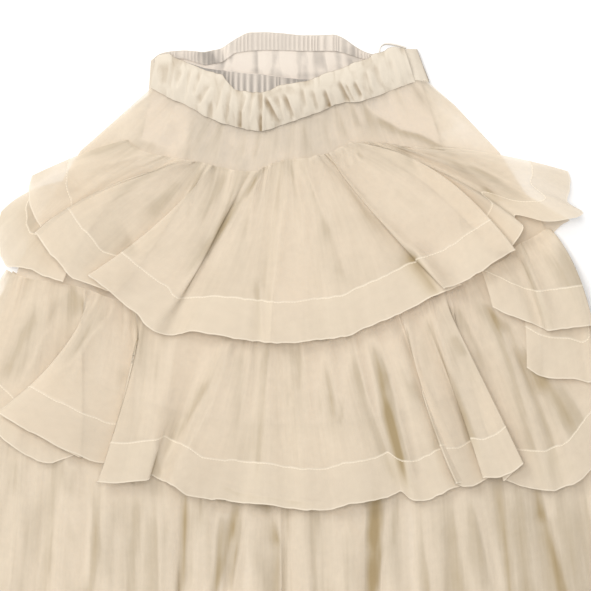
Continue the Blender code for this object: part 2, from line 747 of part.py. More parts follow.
def model_skirt():
    """Lays every piece on those before it, from the back band on the surface to the hanger loop on top."""
    closet = Closet()
    bed = Bed()

    laid_band = bed.settle(back_band())
    bed.cover(laid_band[:BACK_BAND_COLUMNS])
    closet.cloth("waistband_back", laid_band, BAND_COTTON)
    closet.cloth("ruffle_top_back", bed.lay(back_ruffle(BACK_TOP)), NET)
    closet.cloth("ruffle_middle_back", bed.lay(back_ruffle(BACK_MIDDLE)), NET)
    closet.cloth("bottom_tier_back", bed.lay(back_ruffle(BACK_BOTTOM)), NET)
    closet.cloth("base_back", bed.lay(panel(BASE, PANEL_COLUMNS, level, under_back_band)), NET)
    closet.cloth("lining_back", bed.lay(panel(LINING, LINING_BACK_COLUMNS, level, lining_back_top)), LINING_CLOTH)
    closet.cloth("casing_back", bed.lay(back_casing()), CASING_CLOTH)
    closet.cloth("lining_front", bed.lay(panel(LINING, PANEL_COLUMNS, level, lining_front_top)), LINING_CLOTH)
    yoke = panel(BASE, YOKE_GATHER_COLUMNS * YOKE_GATHERS, yoke_wave, under_front_band)
    closet.cloth("base_front", bed.lay(yoke), NET)

    closet.cloth("bottom_tier_front", bed.drape(draped(bottom_folds())), NET)
    closet.cloth("ruffle_middle_front", bed.drape(draped(RUFFLE_MIDDLE)), NET)
    closet.cloth("ruffle_middle_side", bed.drape(draped(RUFFLE_MIDDLE_SIDE, SIDE_FOLD_STEPS)), NET)
    closet.cloth("ruffle_top_side", bed.drape(draped(RUFFLE_TOP_SIDE, SIDE_FOLD_STEPS)), NET)
    closet.cloth("ruffle_top_front", bed.drape(draped(RUFFLE_TOP)), NET)

    casing = front_casing()
    laid_casing = bed.settle(casing)
    bed.seat(casing, laid_casing, row=1)
    closet.cloth("casing_front", laid_casing, CASING_CLOTH)
    closet.cloth("waistband_front", bed.settle(front_band()), BAND_COTTON)
    closet.ribbon("hanger_loop", LOOP_ROUTE, RIBBON)


clear_scene()
model_skirt()
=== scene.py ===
"""The looks of a tiered tulle skirt with an elastic waistband, laid flat with its front up.

Table lengths are millimetres: x to the right of the centre front, down from the top of the waist, and lift
above whatever the layer lies on. Meshes are in metres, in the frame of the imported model.
"""

import logging
import math
from dataclasses import dataclass, field
from enum import Enum
from typing import Callable, NamedTuple, Optional, Sequence, Union

import bpy
import numpy as np
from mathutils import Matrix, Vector

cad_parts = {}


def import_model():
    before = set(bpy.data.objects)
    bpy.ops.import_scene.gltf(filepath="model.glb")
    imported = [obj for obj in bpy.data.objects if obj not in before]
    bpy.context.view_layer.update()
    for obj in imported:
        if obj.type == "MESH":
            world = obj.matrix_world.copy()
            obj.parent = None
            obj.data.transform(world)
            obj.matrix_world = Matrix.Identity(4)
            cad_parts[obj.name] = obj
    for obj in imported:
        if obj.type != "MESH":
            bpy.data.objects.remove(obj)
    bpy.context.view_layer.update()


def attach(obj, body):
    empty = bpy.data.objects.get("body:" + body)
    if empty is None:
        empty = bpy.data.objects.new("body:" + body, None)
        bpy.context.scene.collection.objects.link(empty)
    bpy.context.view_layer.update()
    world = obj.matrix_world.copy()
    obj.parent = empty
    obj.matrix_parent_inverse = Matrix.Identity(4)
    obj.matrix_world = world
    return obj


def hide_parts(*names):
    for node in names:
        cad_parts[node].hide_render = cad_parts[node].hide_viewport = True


LOG = logging.getLogger("tulle_skirt")

MM = 0.001
CENTRE_DOWN = 442.0  # from the top of the waist to the middle of the whole length
CRISP_SIDE = 0.5  # of a crease, in its widths
SOFT_SIDE = 1.7
LIP_ASIDE = 1.3
LIP_SHARE = 0.45
LOWEST = 0.3  # that a crease presses a cloth to
RUN_OUT = 0.2  # of a crease's length, over which it fades past and before each end
LINE_WIDTH = 0.16  # of a fine fold, in the height of its ripple
MOST_LAYERS = 4.0
ENDLESS = 1e6
SEAM_FADE = 30.0  # from a sewn edge to where a cloth has its full loft
WALL = 1.0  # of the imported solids, which these cloths lie in the middle of
SEAM_GAP = 0.35
BAND_WIDTH = 45.0
HEM_WIDTH = 52.0
STITCH_INSET = 1.0
HIDDEN_EDGE = 4.0
BACK_LINING_LAP = 2.0  # of a lining's top edge under its casing
FRONT_LINING_LAP = 1.0
BOTTOM_SEAM_LIFT = 0.3  # of the bottom tier's folds, in their lift at the hem
BOTTOM_MIDDLE_LIFT = 0.85
TURN_CLEARANCE = 3.0
ROOT = "root"

Colour = tuple[float, float, float]
Amount = Union[float, np.ndarray]


class Slot(Enum):
    """The record's material slots."""

    TULLE = "tulle"
    WAISTBAND = "waistband"
    LINING = "lining"
    RIBBON = "ribbon"


class Hold(Enum):
    """How a cloth is held."""

    LAID = "laid"
    GATHERED = "gathered"


class Fold(NamedTuple):
    """One fold line of a ruffle, from its gathered seam past its middle to its hem."""

    seam_x: float
    seam_down: float
    seam_lift: float
    mid_x: float
    mid_down: float
    mid_lift: float
    hem_x: float
    hem_down: float
    hem_lift: float


class Waist(NamedTuple):
    """One section through the open waist, back to front."""

    x: float
    back_top: float
    back_low: float
    front_low: float
    ridge: float
    band_low: float
    ridge_lift: float


class Section(NamedTuple):
    """One section across a panel, with the curve of its middle."""

    left_x: float
    left_down: float
    right_x: float
    right_down: float
    sag: float

    def point(self, share: np.ndarray) -> tuple[np.ndarray, np.ndarray]:
        """The x and down of points at shares of the section's width."""
        down = between(self.left_down, self.right_down, share) + self.sag * 4 * share * (1 - share)
        return between(self.left_x, self.right_x, share), down

    def down_at(self, x: float) -> float:
        """How far down the section's curve lies at x."""
        return float(self.point(np.array((x - self.left_x) / (self.right_x - self.left_x)))[1])


class Crease(NamedTuple):
    """A trough in a cloth, straight in plan. Seen from above while it runs down, it is crisp on its right and
    soft on its left, with a lip beside it that rises a little. A negative depth is a ridge. The shade is
    painted shade that darkens the trough, with a little painted light on the lip, and the other way round if
    it is negative; on sheer cloth it also makes it less sheer, or more. With no depth, it is only a strip of
    painted shade, or painted light.
    """

    x: float
    down: float
    end_x: float
    end_down: float
    width: float
    depth: float
    shade: float


class Ripple(NamedTuple):
    """A kind of uneven ripple that runs down a cloth.

    The pitch is across it, from one to the next. The length is down it, over which one turns into another.
    The shade is painted shade in the troughs and painted light on the crests, and lines is painted shade
    along the fine folds that run halfway up.
    """

    pitch: float
    length: float
    shade: float
    lines: float


WAIST = (
    Waist(-181, 36, 42, 44, 40, 70, 4),
    Waist(-169, 27, 34, 37, 31, 77, 7),
    Waist(-156, 24, 33, 36, 30, 84, 9),
    Waist(-138, 23, 34, 38, 39, 91, 11),
    Waist(-113, 25, 42, 46, 49, 106, 14),
    Waist(-91, 20, 38, 49, 57, 115, 16),
    Waist(-76, 9, 27, 51, 73, 119, 17),
    Waist(-60, 1, 24, 53, 78, 123, 18),
    Waist(-41, 0, 23, 54, 78, 125, 18),
    Waist(-20, 1, 23, 57, 70, 119, 17),
    Waist(6, 4, 24, 60, 65, 109, 16),
    Waist(31, 4, 24, 61, 58, 101, 15),
    Waist(50, 3, 24, 60, 51, 92, 14),
    Waist(63, 9, 27, 56, 46, 89, 13),
    Waist(81, 22, 33, 50, 39, 88, 12),
    Waist(100, 29, 37, 42, 30, 82, 10),
    Waist(116, 26, 34, 35, 24, 76, 8),
    Waist(133, 22, 32, 33, 21, 69, 6),
)
SIDE_SEAM = ((135, 22), (149, 56))
RIGHT_END = ((151, 22), (166, 58))
BAND_TURN = ((RIGHT_END, 2, 5, 5), (RIGHT_END, 0, 10, 10), (SIDE_SEAM, 1, 15, 13))  # edge, past, heights

LOOP_ROUTE = (
    (108, 31, 12),
    (106, 26, 12),
    (107, 20, 12),
    (112, 16, 12.2),
    (120, 16, 12.5),
    (130, 18, 13),
    (139, 21, 13.2),
)

BASE = (
    Section(-177, 66, 164, 61, 52),
    Section(-219, 105, 200, 92, 68),
    Section(-269, 149, 256, 151, 80),
    Section(-325, 240, 306, 230, 93),
    Section(-365, 345, 350, 335, 98),
    Section(-394, 455, 391, 446, 98),
)
LINING = (
    Section(-172, 60, 147, 58, 30),
    Section(-190, 124, 178, 124, 40),
    Section(-214, 225, 204, 225, 46),
    Section(-236, 340, 226, 340, 50),
    Section(-250, 440, 240, 440, 52),
)

BOTTOM_SEAM = Section(-394, 455, 391, 446, 98)
BOTTOM_HEM = Section(-446, 842, 444, 838, 42)

RUFFLE_TOP = (
    Fold(-209, 135, 0, -262, 152, 0.5, -330, 182, 1),
    Fold(-205, 141, 2, -266, 180, 4, -332, 211, 7),
    Fold(-190, 150, 1, -258, 196, 4, -317, 250, 6),
    Fold(-164, 156, 1, -243, 201, 3, -304, 268, 3),
    Fold(-145, 159, 0, -230, 212, 1, -284, 289, 2),
    Fold(-130, 163, 4, -242, 201, 12, -321, 256, 16),
    Fold(-127, 164, 3, -221, 221, 13, -300, 284, 17),
    Fold(-123, 163, 1, -200, 241, 9, -276, 309, 13),
    Fold(-115, 164, 1, -171, 256, 4, -229, 326, 4),
    Fold(-106, 167, 6, -169, 241, 15, -254, 308, 20),
    Fold(-99, 169, 3, -144, 259, 14, -231, 325, 19),
    Fold(-90, 170, 1, -128, 270, 11, -206, 346, 17),
    Fold(-75, 174, 3, -110, 274, 9, -180, 371, 13),
    Fold(-49, 175, 0, -101, 262, 2, -155, 380, 3),
    Fold(-41, 171, 3, -79, 276, 9, -132, 375, 11),
    Fold(-35, 169, 1, -61, 279, 10, -100, 379, 12),
    Fold(-28, 165, 3, -46, 281, 9, -65, 386, 11),
    Fold(-20, 163, 1, -34, 283, 6, -43, 388, 6),
    Fold(-13, 161, 3, -21, 283, 9, -26, 390, 11),
    Fold(-3, 160, 1, 3, 276, 10, 6, 390, 12),
    Fold(9, 159, 3, 25, 271, 8, 38, 385, 10),
    Fold(19, 158, 1, 46, 265, 10, 66, 380, 13),
    Fold(26, 155, 3, 69, 256, 9, 96, 368, 11),
    Fold(31, 155, 1, 89, 246, 7, 131, 353, 8),
    Fold(35, 154, 2, 105, 243, 3, 165, 336, 3),
    Fold(39, 153, 0, 121, 241, 2, 204, 318, 3),
    Fold(43, 153, 4, 96, 221, 12, 189, 321, 15),
    Fold(48, 150, 3, 121, 219, 12, 210, 314, 16),
    Fold(54, 146, 2, 141, 208, 12, 234, 300, 14),
    Fold(61, 143, 4, 156, 194, 14, 254, 286, 17),
    Fold(69, 139, 8, 171, 176, 18, 270, 275, 22),
    Fold(75, 139, 3, 166, 191, 9, 249, 276, 11),
    Fold(83, 138, 0, 181, 186, 2, 269, 269, 2),
    Fold(91, 138, 3, 196, 184, 8, 284, 246, 9),
    Fold(104, 139, 1, 209, 186, 3, 275, 229, 4),
    Fold(116, 140, 3, 225, 186, 7, 316, 238, 8),
    Fold(131, 143, 1, 244, 184, 9, 359, 229, 12),
    Fold(148, 145, 3, 253, 174, 7, 341, 215, 9),
    Fold(163, 146, 1, 263, 165, 5, 345, 194, 7),
    Fold(178, 143, 0, 266, 157, 0.5, 341, 175, 1),
)

RUFFLE_TOP_SIDE = (
    Fold(-276, 184, 0, -331, 199, 0.5, -369, 226, 1),
    Fold(-272, 192, 1, -330, 218, 3, -374, 258, 4),
    Fold(-266, 200, 0, -322, 240, 2, -362, 292, 2),
    Fold(-258, 208, 1, -307, 254, 4, -340, 295, 5),
    Fold(-250, 216, 0, -290, 262, 2, -315, 306, 2),
    Fold(-242, 224, 0, -270, 270, 1, -290, 314, 1),
)

RUFFLE_MIDDLE = (
    Fold(-362, 298, 0, -396, 361, 0.5, -421, 434, 1),
    Fold(-350, 304, 2, -376, 380, 5, -412, 467, 8),
    Fold(-330, 310, 0, -352, 392, 3, -388, 490, 4),
    Fold(-310, 313, 2, -326, 408, 6, -350, 520, 6),
    Fold(-292, 316, 1, -304, 424, 3, -309, 540, 2),
    Fold(-268, 320, 0, -270, 420, 1, -276, 530, 2),
    Fold(-248, 327, 7, -291, 405, 15, -365, 480, 18),
    Fold(-236, 332, 5, -268, 421, 14, -331, 499, 18),
    Fold(-226, 335, 3, -247, 436, 10, -294, 520, 14),
    Fold(-215, 338, 1, -222, 448, 5, -250, 538, 5),
    Fold(-203, 341, 0, -203, 450, 2, -220, 544, 2),
    Fold(-192, 343, 4, -211, 449, 14, -244, 564, 17),
    Fold(-180, 346, 2, -192, 455, 12, -216, 565, 14),
    Fold(-160, 351, 3, -168, 452, 12, -188, 562, 14),
    Fold(-126, 355, 1, -146, 448, 8, -178, 556, 9),
    Fold(-98, 358, 0, -126, 450, 2, -166, 562, 2),
    Fold(-76, 360, 3, -104, 440, 11, -152, 567, 13),
    Fold(-66, 361, 1, -86, 461, 11, -131, 581, 14),
    Fold(-54, 362, 3, -66, 468, 9, -98, 585, 11),
    Fold(-44, 362, 1, -52, 471, 7, -68, 590, 8),
    Fold(-34, 362, 3, -37, 474, 12, -41, 592, 13),
    Fold(-19, 362, 1, -16, 475, 8, -12, 595, 9),
    Fold(-4, 362, 3, 6, 476, 11, 16, 598, 12),
    Fold(11, 362, 1, 29, 476, 8, 44, 597, 9),
    Fold(26, 361, 3, 51, 474, 11, 71, 591, 13),
    Fold(41, 360, 1, 69, 468, 10, 100, 586, 12),
    Fold(60, 357, 2, 86, 461, 6, 122, 581, 6),
    Fold(71, 356, 0, 99, 464, 2, 134, 576, 2),
    Fold(82, 355, 3, 113, 467, 9, 148, 587, 11),
    Fold(96, 352, 1, 131, 464, 8, 168, 585, 9),
    Fold(112, 348, 3, 150, 456, 10, 191, 574, 11),
    Fold(126, 345, 0, 168, 452, 2, 216, 564, 1),
    Fold(134, 343, 6, 162, 459, 14, 203, 566, 17),
    Fold(144, 340, 1, 178, 455, 11, 219, 569, 12),
    Fold(156, 336, 0, 196, 449, 2, 243, 559, 1),
    Fold(166, 332, 5, 197, 452, 13, 236, 559, 16),
    Fold(172, 329, 4, 212, 442, 15, 260, 556, 18),
    Fold(181, 326, 7, 228, 426, 18, 282, 542, 22),
    Fold(196, 320, 2, 226, 446, 9, 263, 561, 9),
    Fold(209, 315, 0, 254, 451, 2, 294, 572, 1),
    Fold(221, 309, 3, 281, 446, 11, 321, 575, 12),
    Fold(234, 302, 1, 300, 446, 6, 339, 570, 6),
    Fold(244, 296, 3, 314, 442, 10, 359, 559, 11),
    Fold(256, 289, 1, 331, 430, 6, 381, 534, 6),
    Fold(269, 281, 2, 350, 411, 7, 400, 511, 8),
    Fold(284, 274, 0, 369, 368, 0.5, 419, 461, 1),
)

RUFFLE_MIDDLE_SIDE = (
    Fold(275, 284, 0, 286, 349, 1, 289, 421, 1),
    Fold(288, 276, 0, 308, 349, 2, 310, 432, 3),
    Fold(303, 272, 0, 331, 348, 1, 345, 435, 2),
    Fold(322, 252, 0, 354, 330, 2, 376, 433, 3),
    Fold(317, 246, 3, 346, 291, 12, 369, 368, 14),
    Fold(300, 256, 5, 334, 312, 13, 354, 370, 15),
    Fold(289, 262, 4, 318, 320, 12, 334, 372, 14),
    Fold(277, 269, 5, 299, 323, 12, 314, 374, 14),
    Fold(264, 284, 4, 290, 326, 7, 306, 371, 8),
    Fold(254, 289, 6, 274, 324, 10, 288, 363, 11),
    Fold(244, 294, 5, 256, 321, 9, 263, 353, 10),
    Fold(233, 299, 4, 239, 318, 7, 246, 344, 8),
)

# seam_x, hem_x and lift; the seam and the hem follow their own arcs
BOTTOM_FOLDS = (
    (-394, -446, 0.5),
    (-375, -422, 9),
    (-354, -394, 3),
    (-331, -364, 11),
    (-309, -334, 3),
    (-284, -306, 12),
    (-259, -272, 3),
    (-234, -241, 10),
    (-209, -206, 4),
    (-181, -170, 13),
    (-161, -158, 11),
    (-136, -144, 1),
    (-114, -121, 12),
    (-90, -108, 10),
    (-66, -101, 1),
    (-50, -76, 12),
    (-33, -24, 2),
    (-20, -12, 9),
    (-10, -4, 2),
    (8, 14, 12),
    (26, 31, 8),
    (44, 54, 12),
    (66, 76, 11),
    (94, 98, 0.5),
    (116, 120, 12),
    (138, 150, 4),
    (162, 181, 12),
    (190, 209, 6),
    (214, 240, 12),
    (240, 268, 3),
    (264, 300, 12),
    (290, 345, 2),
    (316, 370, 11),
    (342, 398, 3),
    (368, 424, 8),
    (391, 444, 0.5),
)

# Creases with painted shade in them. Rows with no depth only paint shade.
BAND_CREASES = (
    Crease(-150, 36, -150, 66, 12, 0, 0.2),
    Crease(-68, 101, -68, 121, 2.5, 2.0, 0.6),
    Crease(-61, 80, -68, 101, 3, 1.4, 0.3),
    Crease(-42, 78, -42, 102, 2.5, 1.4, 0.35),
    Crease(-42, 104, -42, 128, 2.0, 2.0, 0.8),
    Crease(-36, 85, -21, 112, 2.8, 2.0, 0.6),
    Crease(-12, 82, -1, 108, 2.6, 2.0, 0.6),
    Crease(9, 74, 14, 96, 3, 1.2, 0.3),
    Crease(38, 76, 45, 96, 2.6, 2.0, 0.65),
    Crease(56, 65, 68, 88, 2.6, 1.6, 0.5),
    Crease(64, 68, 74, 88, 2.4, 1.6, 0.55),
    Crease(75, 65, 84, 82, 2.4, 1.4, 0.55),
    Crease(-108, 70, -120, 90, 3.5, 1.6, 0.35),
    Crease(-105, 90, -105, 110, 3, 1.4, 0.3),
    Crease(-142, 50, -149, 70, 4, 1.4, 0.25),
    Crease(-91, 61, -99, 99, 4, 1.2, 0.2),
    Crease(-160, 44, -163, 66, 4, 1.2, 0.2),
    Crease(-152, 42, -156, 74, 3, 1.2, 0.22),
    Crease(-131, 50, -138, 84, 3.5, 1.2, 0.28),
    Crease(-119, 54, -126, 78, 3, 1.2, 0.25),
    Crease(-82, 80, -86, 112, 3, 1.2, 0.3),
    Crease(-54, 82, -57, 112, 3, 1.0, 0.25),
    Crease(-22, 84, -14, 112, 3, 1.0, 0.3),
    Crease(22, 76, 30, 98, 3, 1.0, 0.3),
    Crease(88, 52, 98, 78, 3, 1.0, 0.3),
    Crease(100, 44, 111, 71, 4, 1.2, 0.18),
    Crease(119, 36, 129, 64, 4, 1.2, 0.18),
)

# Painted shadow only, with no depth, inside the waist opening at its left and right.
CASING_PAINTED_SHADE = (
    Crease(-112, 18, -98, 44, 9, 0, 0.7),
    Crease(-96, 18, -88, 40, 6, 0, 0.5),
    Crease(72, 18, 78, 40, 8, 0, 0.3),
)

INNER_CREASES = (
    Crease(-48, 22, -47, 54, 2.5, 0.4, 0.5),
    Crease(-24, 30, -29, 56, 3, 0.4, 0.25),
    Crease(8, 26, 5, 58, 3, 0.4, 0.25),
    Crease(36, 28, 41, 52, 3, 0.4, 0.3),
    Crease(-78, 34, -92, 46, 4, 0.4, 0.3),
    Crease(70, 34, 74, 50, 3, 0.4, 0.3),
    Crease(-60, 48, 40, 56, 5, 0.3, 0.25),
)

# The first three have no depth and are only painted shade: a darker zone across the middle, crisp at its left
# and right edges. The rest are creases with painted shade in them.
LINING_CREASES = (
    Crease(-136, 166, -124, 92, 70, 0, 0.35),
    Crease(-136, 166, -124, 92, 13, 0, 0.40),
    Crease(60, 84, 50, 170, 60, 0, 0.35),
    Crease(-60, 130, -80, 420, 9, 0.5, 0.25),
    Crease(30, 120, 60, 420, 9, 0.5, 0.25),
    Crease(110, 130, 130, 420, 8, 0.5, 0.2),
)

# Creases with painted shade in them. Rows with no depth only paint: shade, or light where the shade is
# negative, as on the yoke's right edge, which it also makes sheerer.
YOKE_CREASES = (
    Crease(-89, 111, -99, 159, 5, 0.6, 0.4),
    Crease(-74, 114, -79, 149, 4, 0.6, 0.3),
    Crease(-61, 116, -65, 155, 4, 0.6, 0.35),
    Crease(-43, 125, -50, 159, 4, 0.7, 0.5),
    Crease(-16, 119, -20, 151, 4, 0.6, 0.25),
    Crease(6, 109, 21, 149, 6, 0.6, 0.25),
    Crease(29, 102, 46, 144, 5, 0.6, 0.3),
    Crease(51, 94, 66, 134, 5, 0.6, 0.35),
    Crease(71, 90, 81, 118, 4, 0.6, 0.5),
    Crease(81, 90, 114, 118, 8, 0.6, 0.4),
    Crease(106, 109, 131, 124, 4, 0.7, 0.6),
    Crease(131, 124, 156, 130, 3.5, 0.7, 0.75),
    Crease(156, 130, 181, 143, 3.5, 0.7, 0.7),
    Crease(181, 143, 200, 155, 4, 0.7, 0.5),
    Crease(85, 100, 125, 122, 14, 0, 0.45),
    Crease(125, 122, 195, 142, 12, 0, 0.45),
    Crease(178, 85, 250, 150, 10, 0, -0.5),
    Crease(-200, 136, -160, 148, 8, 0, 0.5),
    Crease(-169, 80, -206, 124, 8, 0.6, 0.2),
    Crease(-150, 92, -181, 149, 6, 0.6, 0.25),
    Crease(-125, 103, -136, 156, 3, -0.5, 0.3),
    Crease(150, 70, 190, 108, 8, 0.6, 0.2),
)

# Creases with painted shade in them. Rows with no depth only paint: shade, or light where the shade is
# negative. A negative shade on a crease with depth paints light along it.
TOP_CREASES = (
    Crease(-60, 178, -81, 226, 6, 1.0, 0.55),
    Crease(-81, 226, -112, 289, 8, 1.0, 0.45),
    Crease(-41, 176, -69, 217, 4, 1.0, 0.6),
    Crease(-69, 217, -96, 255, 5, 1.0, 0.5),
    Crease(-96, 255, -131, 305, 6, 1.0, 0.4),
    Crease(-49, 179, -57, 217, 4, 1.0, 0.4),
    Crease(-57, 217, -62, 265, 5, 1.0, 0.3),
    Crease(-15, 200, -29, 321, 5, 0.8, 0.25),
    Crease(-5, 165, 4, 211, 4, 1.0, 0.45),
    Crease(4, 211, 11, 270, 5, 0.8, 0.25),
    Crease(9, 165, 26, 211, 4, 1.0, 0.5),
    Crease(26, 211, 44, 255, 5, 0.8, 0.35),
    Crease(44, 255, 62, 310, 6, 0.8, 0.25),
    Crease(38, 155, 91, 226, 4, 1.0, 0.5),
    Crease(56, 148, 62, 172, 3, 0.8, 0.4),
    Crease(67, 143, 72, 168, 3, 0.8, 0.4),
    Crease(76, 140, 85, 162, 3, 0.8, 0.4),
    Crease(91, 226, 145, 275, 5, 0.8, 0.35),
    Crease(130, 138, 162, 186, 5, 0.8, 0.35),
    Crease(129, 190, 166, 218, 16, 0.4, 0.4),
    Crease(144, 274, 182, 330, 9, 1.0, 1.0),
    Crease(-46, 318, -42, 386, 3, 0.8, 0.5),
    Crease(-30, 322, -33, 386, 3, 0.8, 0.4),
    Crease(181, 149, 256, 211, 5, 0.8, 0.35),
    Crease(200, 161, 262, 186, 5, 0.8, 0.35),
    Crease(219, 167, 294, 211, 5, 0.8, 0.4),
    Crease(238, 196, 258, 214, 4, 0.8, 0.5),
    Crease(-188, 151, -244, 167, 5, 0.8, 0.35),
    Crease(-181, 161, -250, 199, 6, 0.8, 0.35),
    Crease(-162, 167, -231, 217, 6, 0.8, 0.3),
    Crease(-131, 163, -175, 207, 9, 0.8, -0.35),
    Crease(-86, 180, -116, 238, 7, 0, 0.5),
    Crease(-92, 225, -106, 262, 6, 0, -0.25),
    Crease(146, 276, 180, 322, 12, 0, 0.5),
    Crease(-310, 165, -345, 215, 25, 0, 0.35),
    Crease(-215, 138, -335, 186, 14, 0, 0.5),
    Crease(150, 155, 244, 192, 10, 0, -0.35),
    Crease(-146, 190, -176, 236, 9, 0.8, 0.35),
    Crease(-215, 245, -200, 280, 10, 0.6, 0.35),
    Crease(-115, 172, -131, 206, 3, -0.8, 0.3),
    Crease(-131, 206, -133, 236, 3, -0.8, 0.3),
)

# Creases with painted shade in them. Rows with no depth only paint: shade, or light where the shade is
# negative, as along the strip just under the top tier's hem.
MIDDLE_CREASES = (
    Crease(67, 372, 88, 461, 7, 1.0, 0.6),
    Crease(88, 461, 125, 560, 8, 1.6, 0.5),
    Crease(106, 399, 147, 562, 7, 0.6, 0.8),
    Crease(118, 470, 137, 566, 9, 0.4, 0.6),
    Crease(148, 385, 172, 520, 7, 0, -0.35),
    Crease(182, 385, 214, 530, 7, 0, -0.35),
    Crease(160, 350, 204, 510, 10, 0, -0.3),
    Crease(-110, 388, -60, 396, 8, 0, -0.35),
    Crease(20, 396, 70, 390, 14, 0, -0.7),
    Crease(90, 380, 140, 352, 10, 0, -0.65),
    Crease(140, 352, 185, 330, 10, 0, -0.5),
    Crease(190, 332, 215, 316, 8, 0, -0.5),
    Crease(298, 395, 312, 450, 12, 0, 0.6),
    Crease(232, 338, 266, 372, 8, 0, 0.5),
    Crease(200, 380, 214, 404, 6, 0, 0.5),
    Crease(300, 390, 365, 500, 14, 0, 0.8),
    Crease(330, 270, 372, 340, 18, 0, 0.7),
    Crease(350, 350, 400, 520, 40, 0, 0.4),
    Crease(-282, 322, -262, 345, 12, 0, 0.5),
    Crease(-316, 350, -352, 440, 12, 0, 0.4),
    Crease(-352, 490, -362, 520, 12, 0, 0.5),
    Crease(-200, 370, -208, 420, 8, 0, -0.4),
    Crease(-91, 568, -69, 578, 3, 0, 0.4),
    Crease(-69, 578, -6, 587, 3, 0, 0.4),
    Crease(-6, 587, 31, 590, 3, 0, 0.4),
    Crease(96, 376, 112, 461, 5, 1.0, 0.45),
    Crease(112, 461, 140, 560, 6, 1.6, 0.7),
    Crease(-181, 510, -167, 558, 9, 1.0, 0.55),
    Crease(-109, 440, -138, 492, 5, 1.0, 0.45),
    Crease(-138, 492, -162, 532, 6, 1.0, 0.4),
    Crease(-194, 356, -219, 461, 6, 0.8, 0.3),
    Crease(-229, 346, -294, 424, 6, 0.8, 0.35),
    Crease(-252, 350, -276, 430, 6, 0.8, 0.25),
    Crease(-150, 374, -162, 461, 6, 0.8, 0.3),
    Crease(-79, 376, -106, 461, 6, 0.8, 0.4),
    Crease(-106, 461, -138, 524, 6, 0.8, 0.35),
    Crease(-31, 376, -39, 461, 5, 0.8, 0.35),
    Crease(-39, 461, -46, 560, 5, 0.8, 0.3),
    Crease(-62, 380, -71, 486, 6, 0.8, 0.25),
    Crease(6, 380, 10, 486, 6, 0.8, 0.25),
    Crease(38, 376, 50, 500, 6, 0.8, 0.3),
    Crease(138, 366, 156, 449, 5, 0.8, 0.4),
    Crease(156, 449, 184, 540, 6, 0.8, 0.45),
    Crease(162, 355, 200, 449, 5, 0.8, 0.4),
    Crease(200, 449, 231, 530, 6, 0.8, 0.4),
    Crease(200, 340, 244, 424, 6, 0.8, 0.35),
    Crease(244, 340, 275, 436, 5, 0.8, 0.5),
    Crease(275, 436, 304, 540, 6, 0.8, 0.45),
    Crease(262, 350, 294, 449, 6, 0.8, 0.3),
    Crease(294, 449, 331, 530, 7, 0.8, 0.35),
    Crease(312, 430, 356, 511, 8, 0.8, 0.35),
    Crease(316, 526, 352, 552, 20, 0.4, 0.45),
    Crease(15, 450, 17, 472, 3, 0.3, 0.3),
    Crease(30, 452, 34, 478, 3, 0.3, 0.3),
    Crease(46, 455, 50, 480, 3, 0.3, 0.25),
    Crease(62, 458, 58, 492, 3, 0.3, 0.35),
    Crease(-6, 452, -8, 470, 3, 0.3, 0.2),
    Crease(-300, 350, -340, 430, 6, 0.8, 0.3),
    Crease(-320, 350, -366, 440, 6, 0.8, 0.3),
)

# Painted shade only, with no depth, over the left side ruffle.
TOP_SIDE_PAINTED_SHADE = (
    Crease(-330, 214, -348, 292, 30, 0, 0.3),
    Crease(-336, 215, -300, 300, 12, 0, 0.5),
)

# Painted shade only, with no depth, over the right side ruffle.
MIDDLE_SIDE_PAINTED_SHADE = (
    Crease(287, 292, 319, 366, 6, 0, 0.6),
    Crease(330, 270, 372, 340, 18, 0, 0.5),
    Crease(330, 340, 360, 436, 20, 0, 0.3),
)

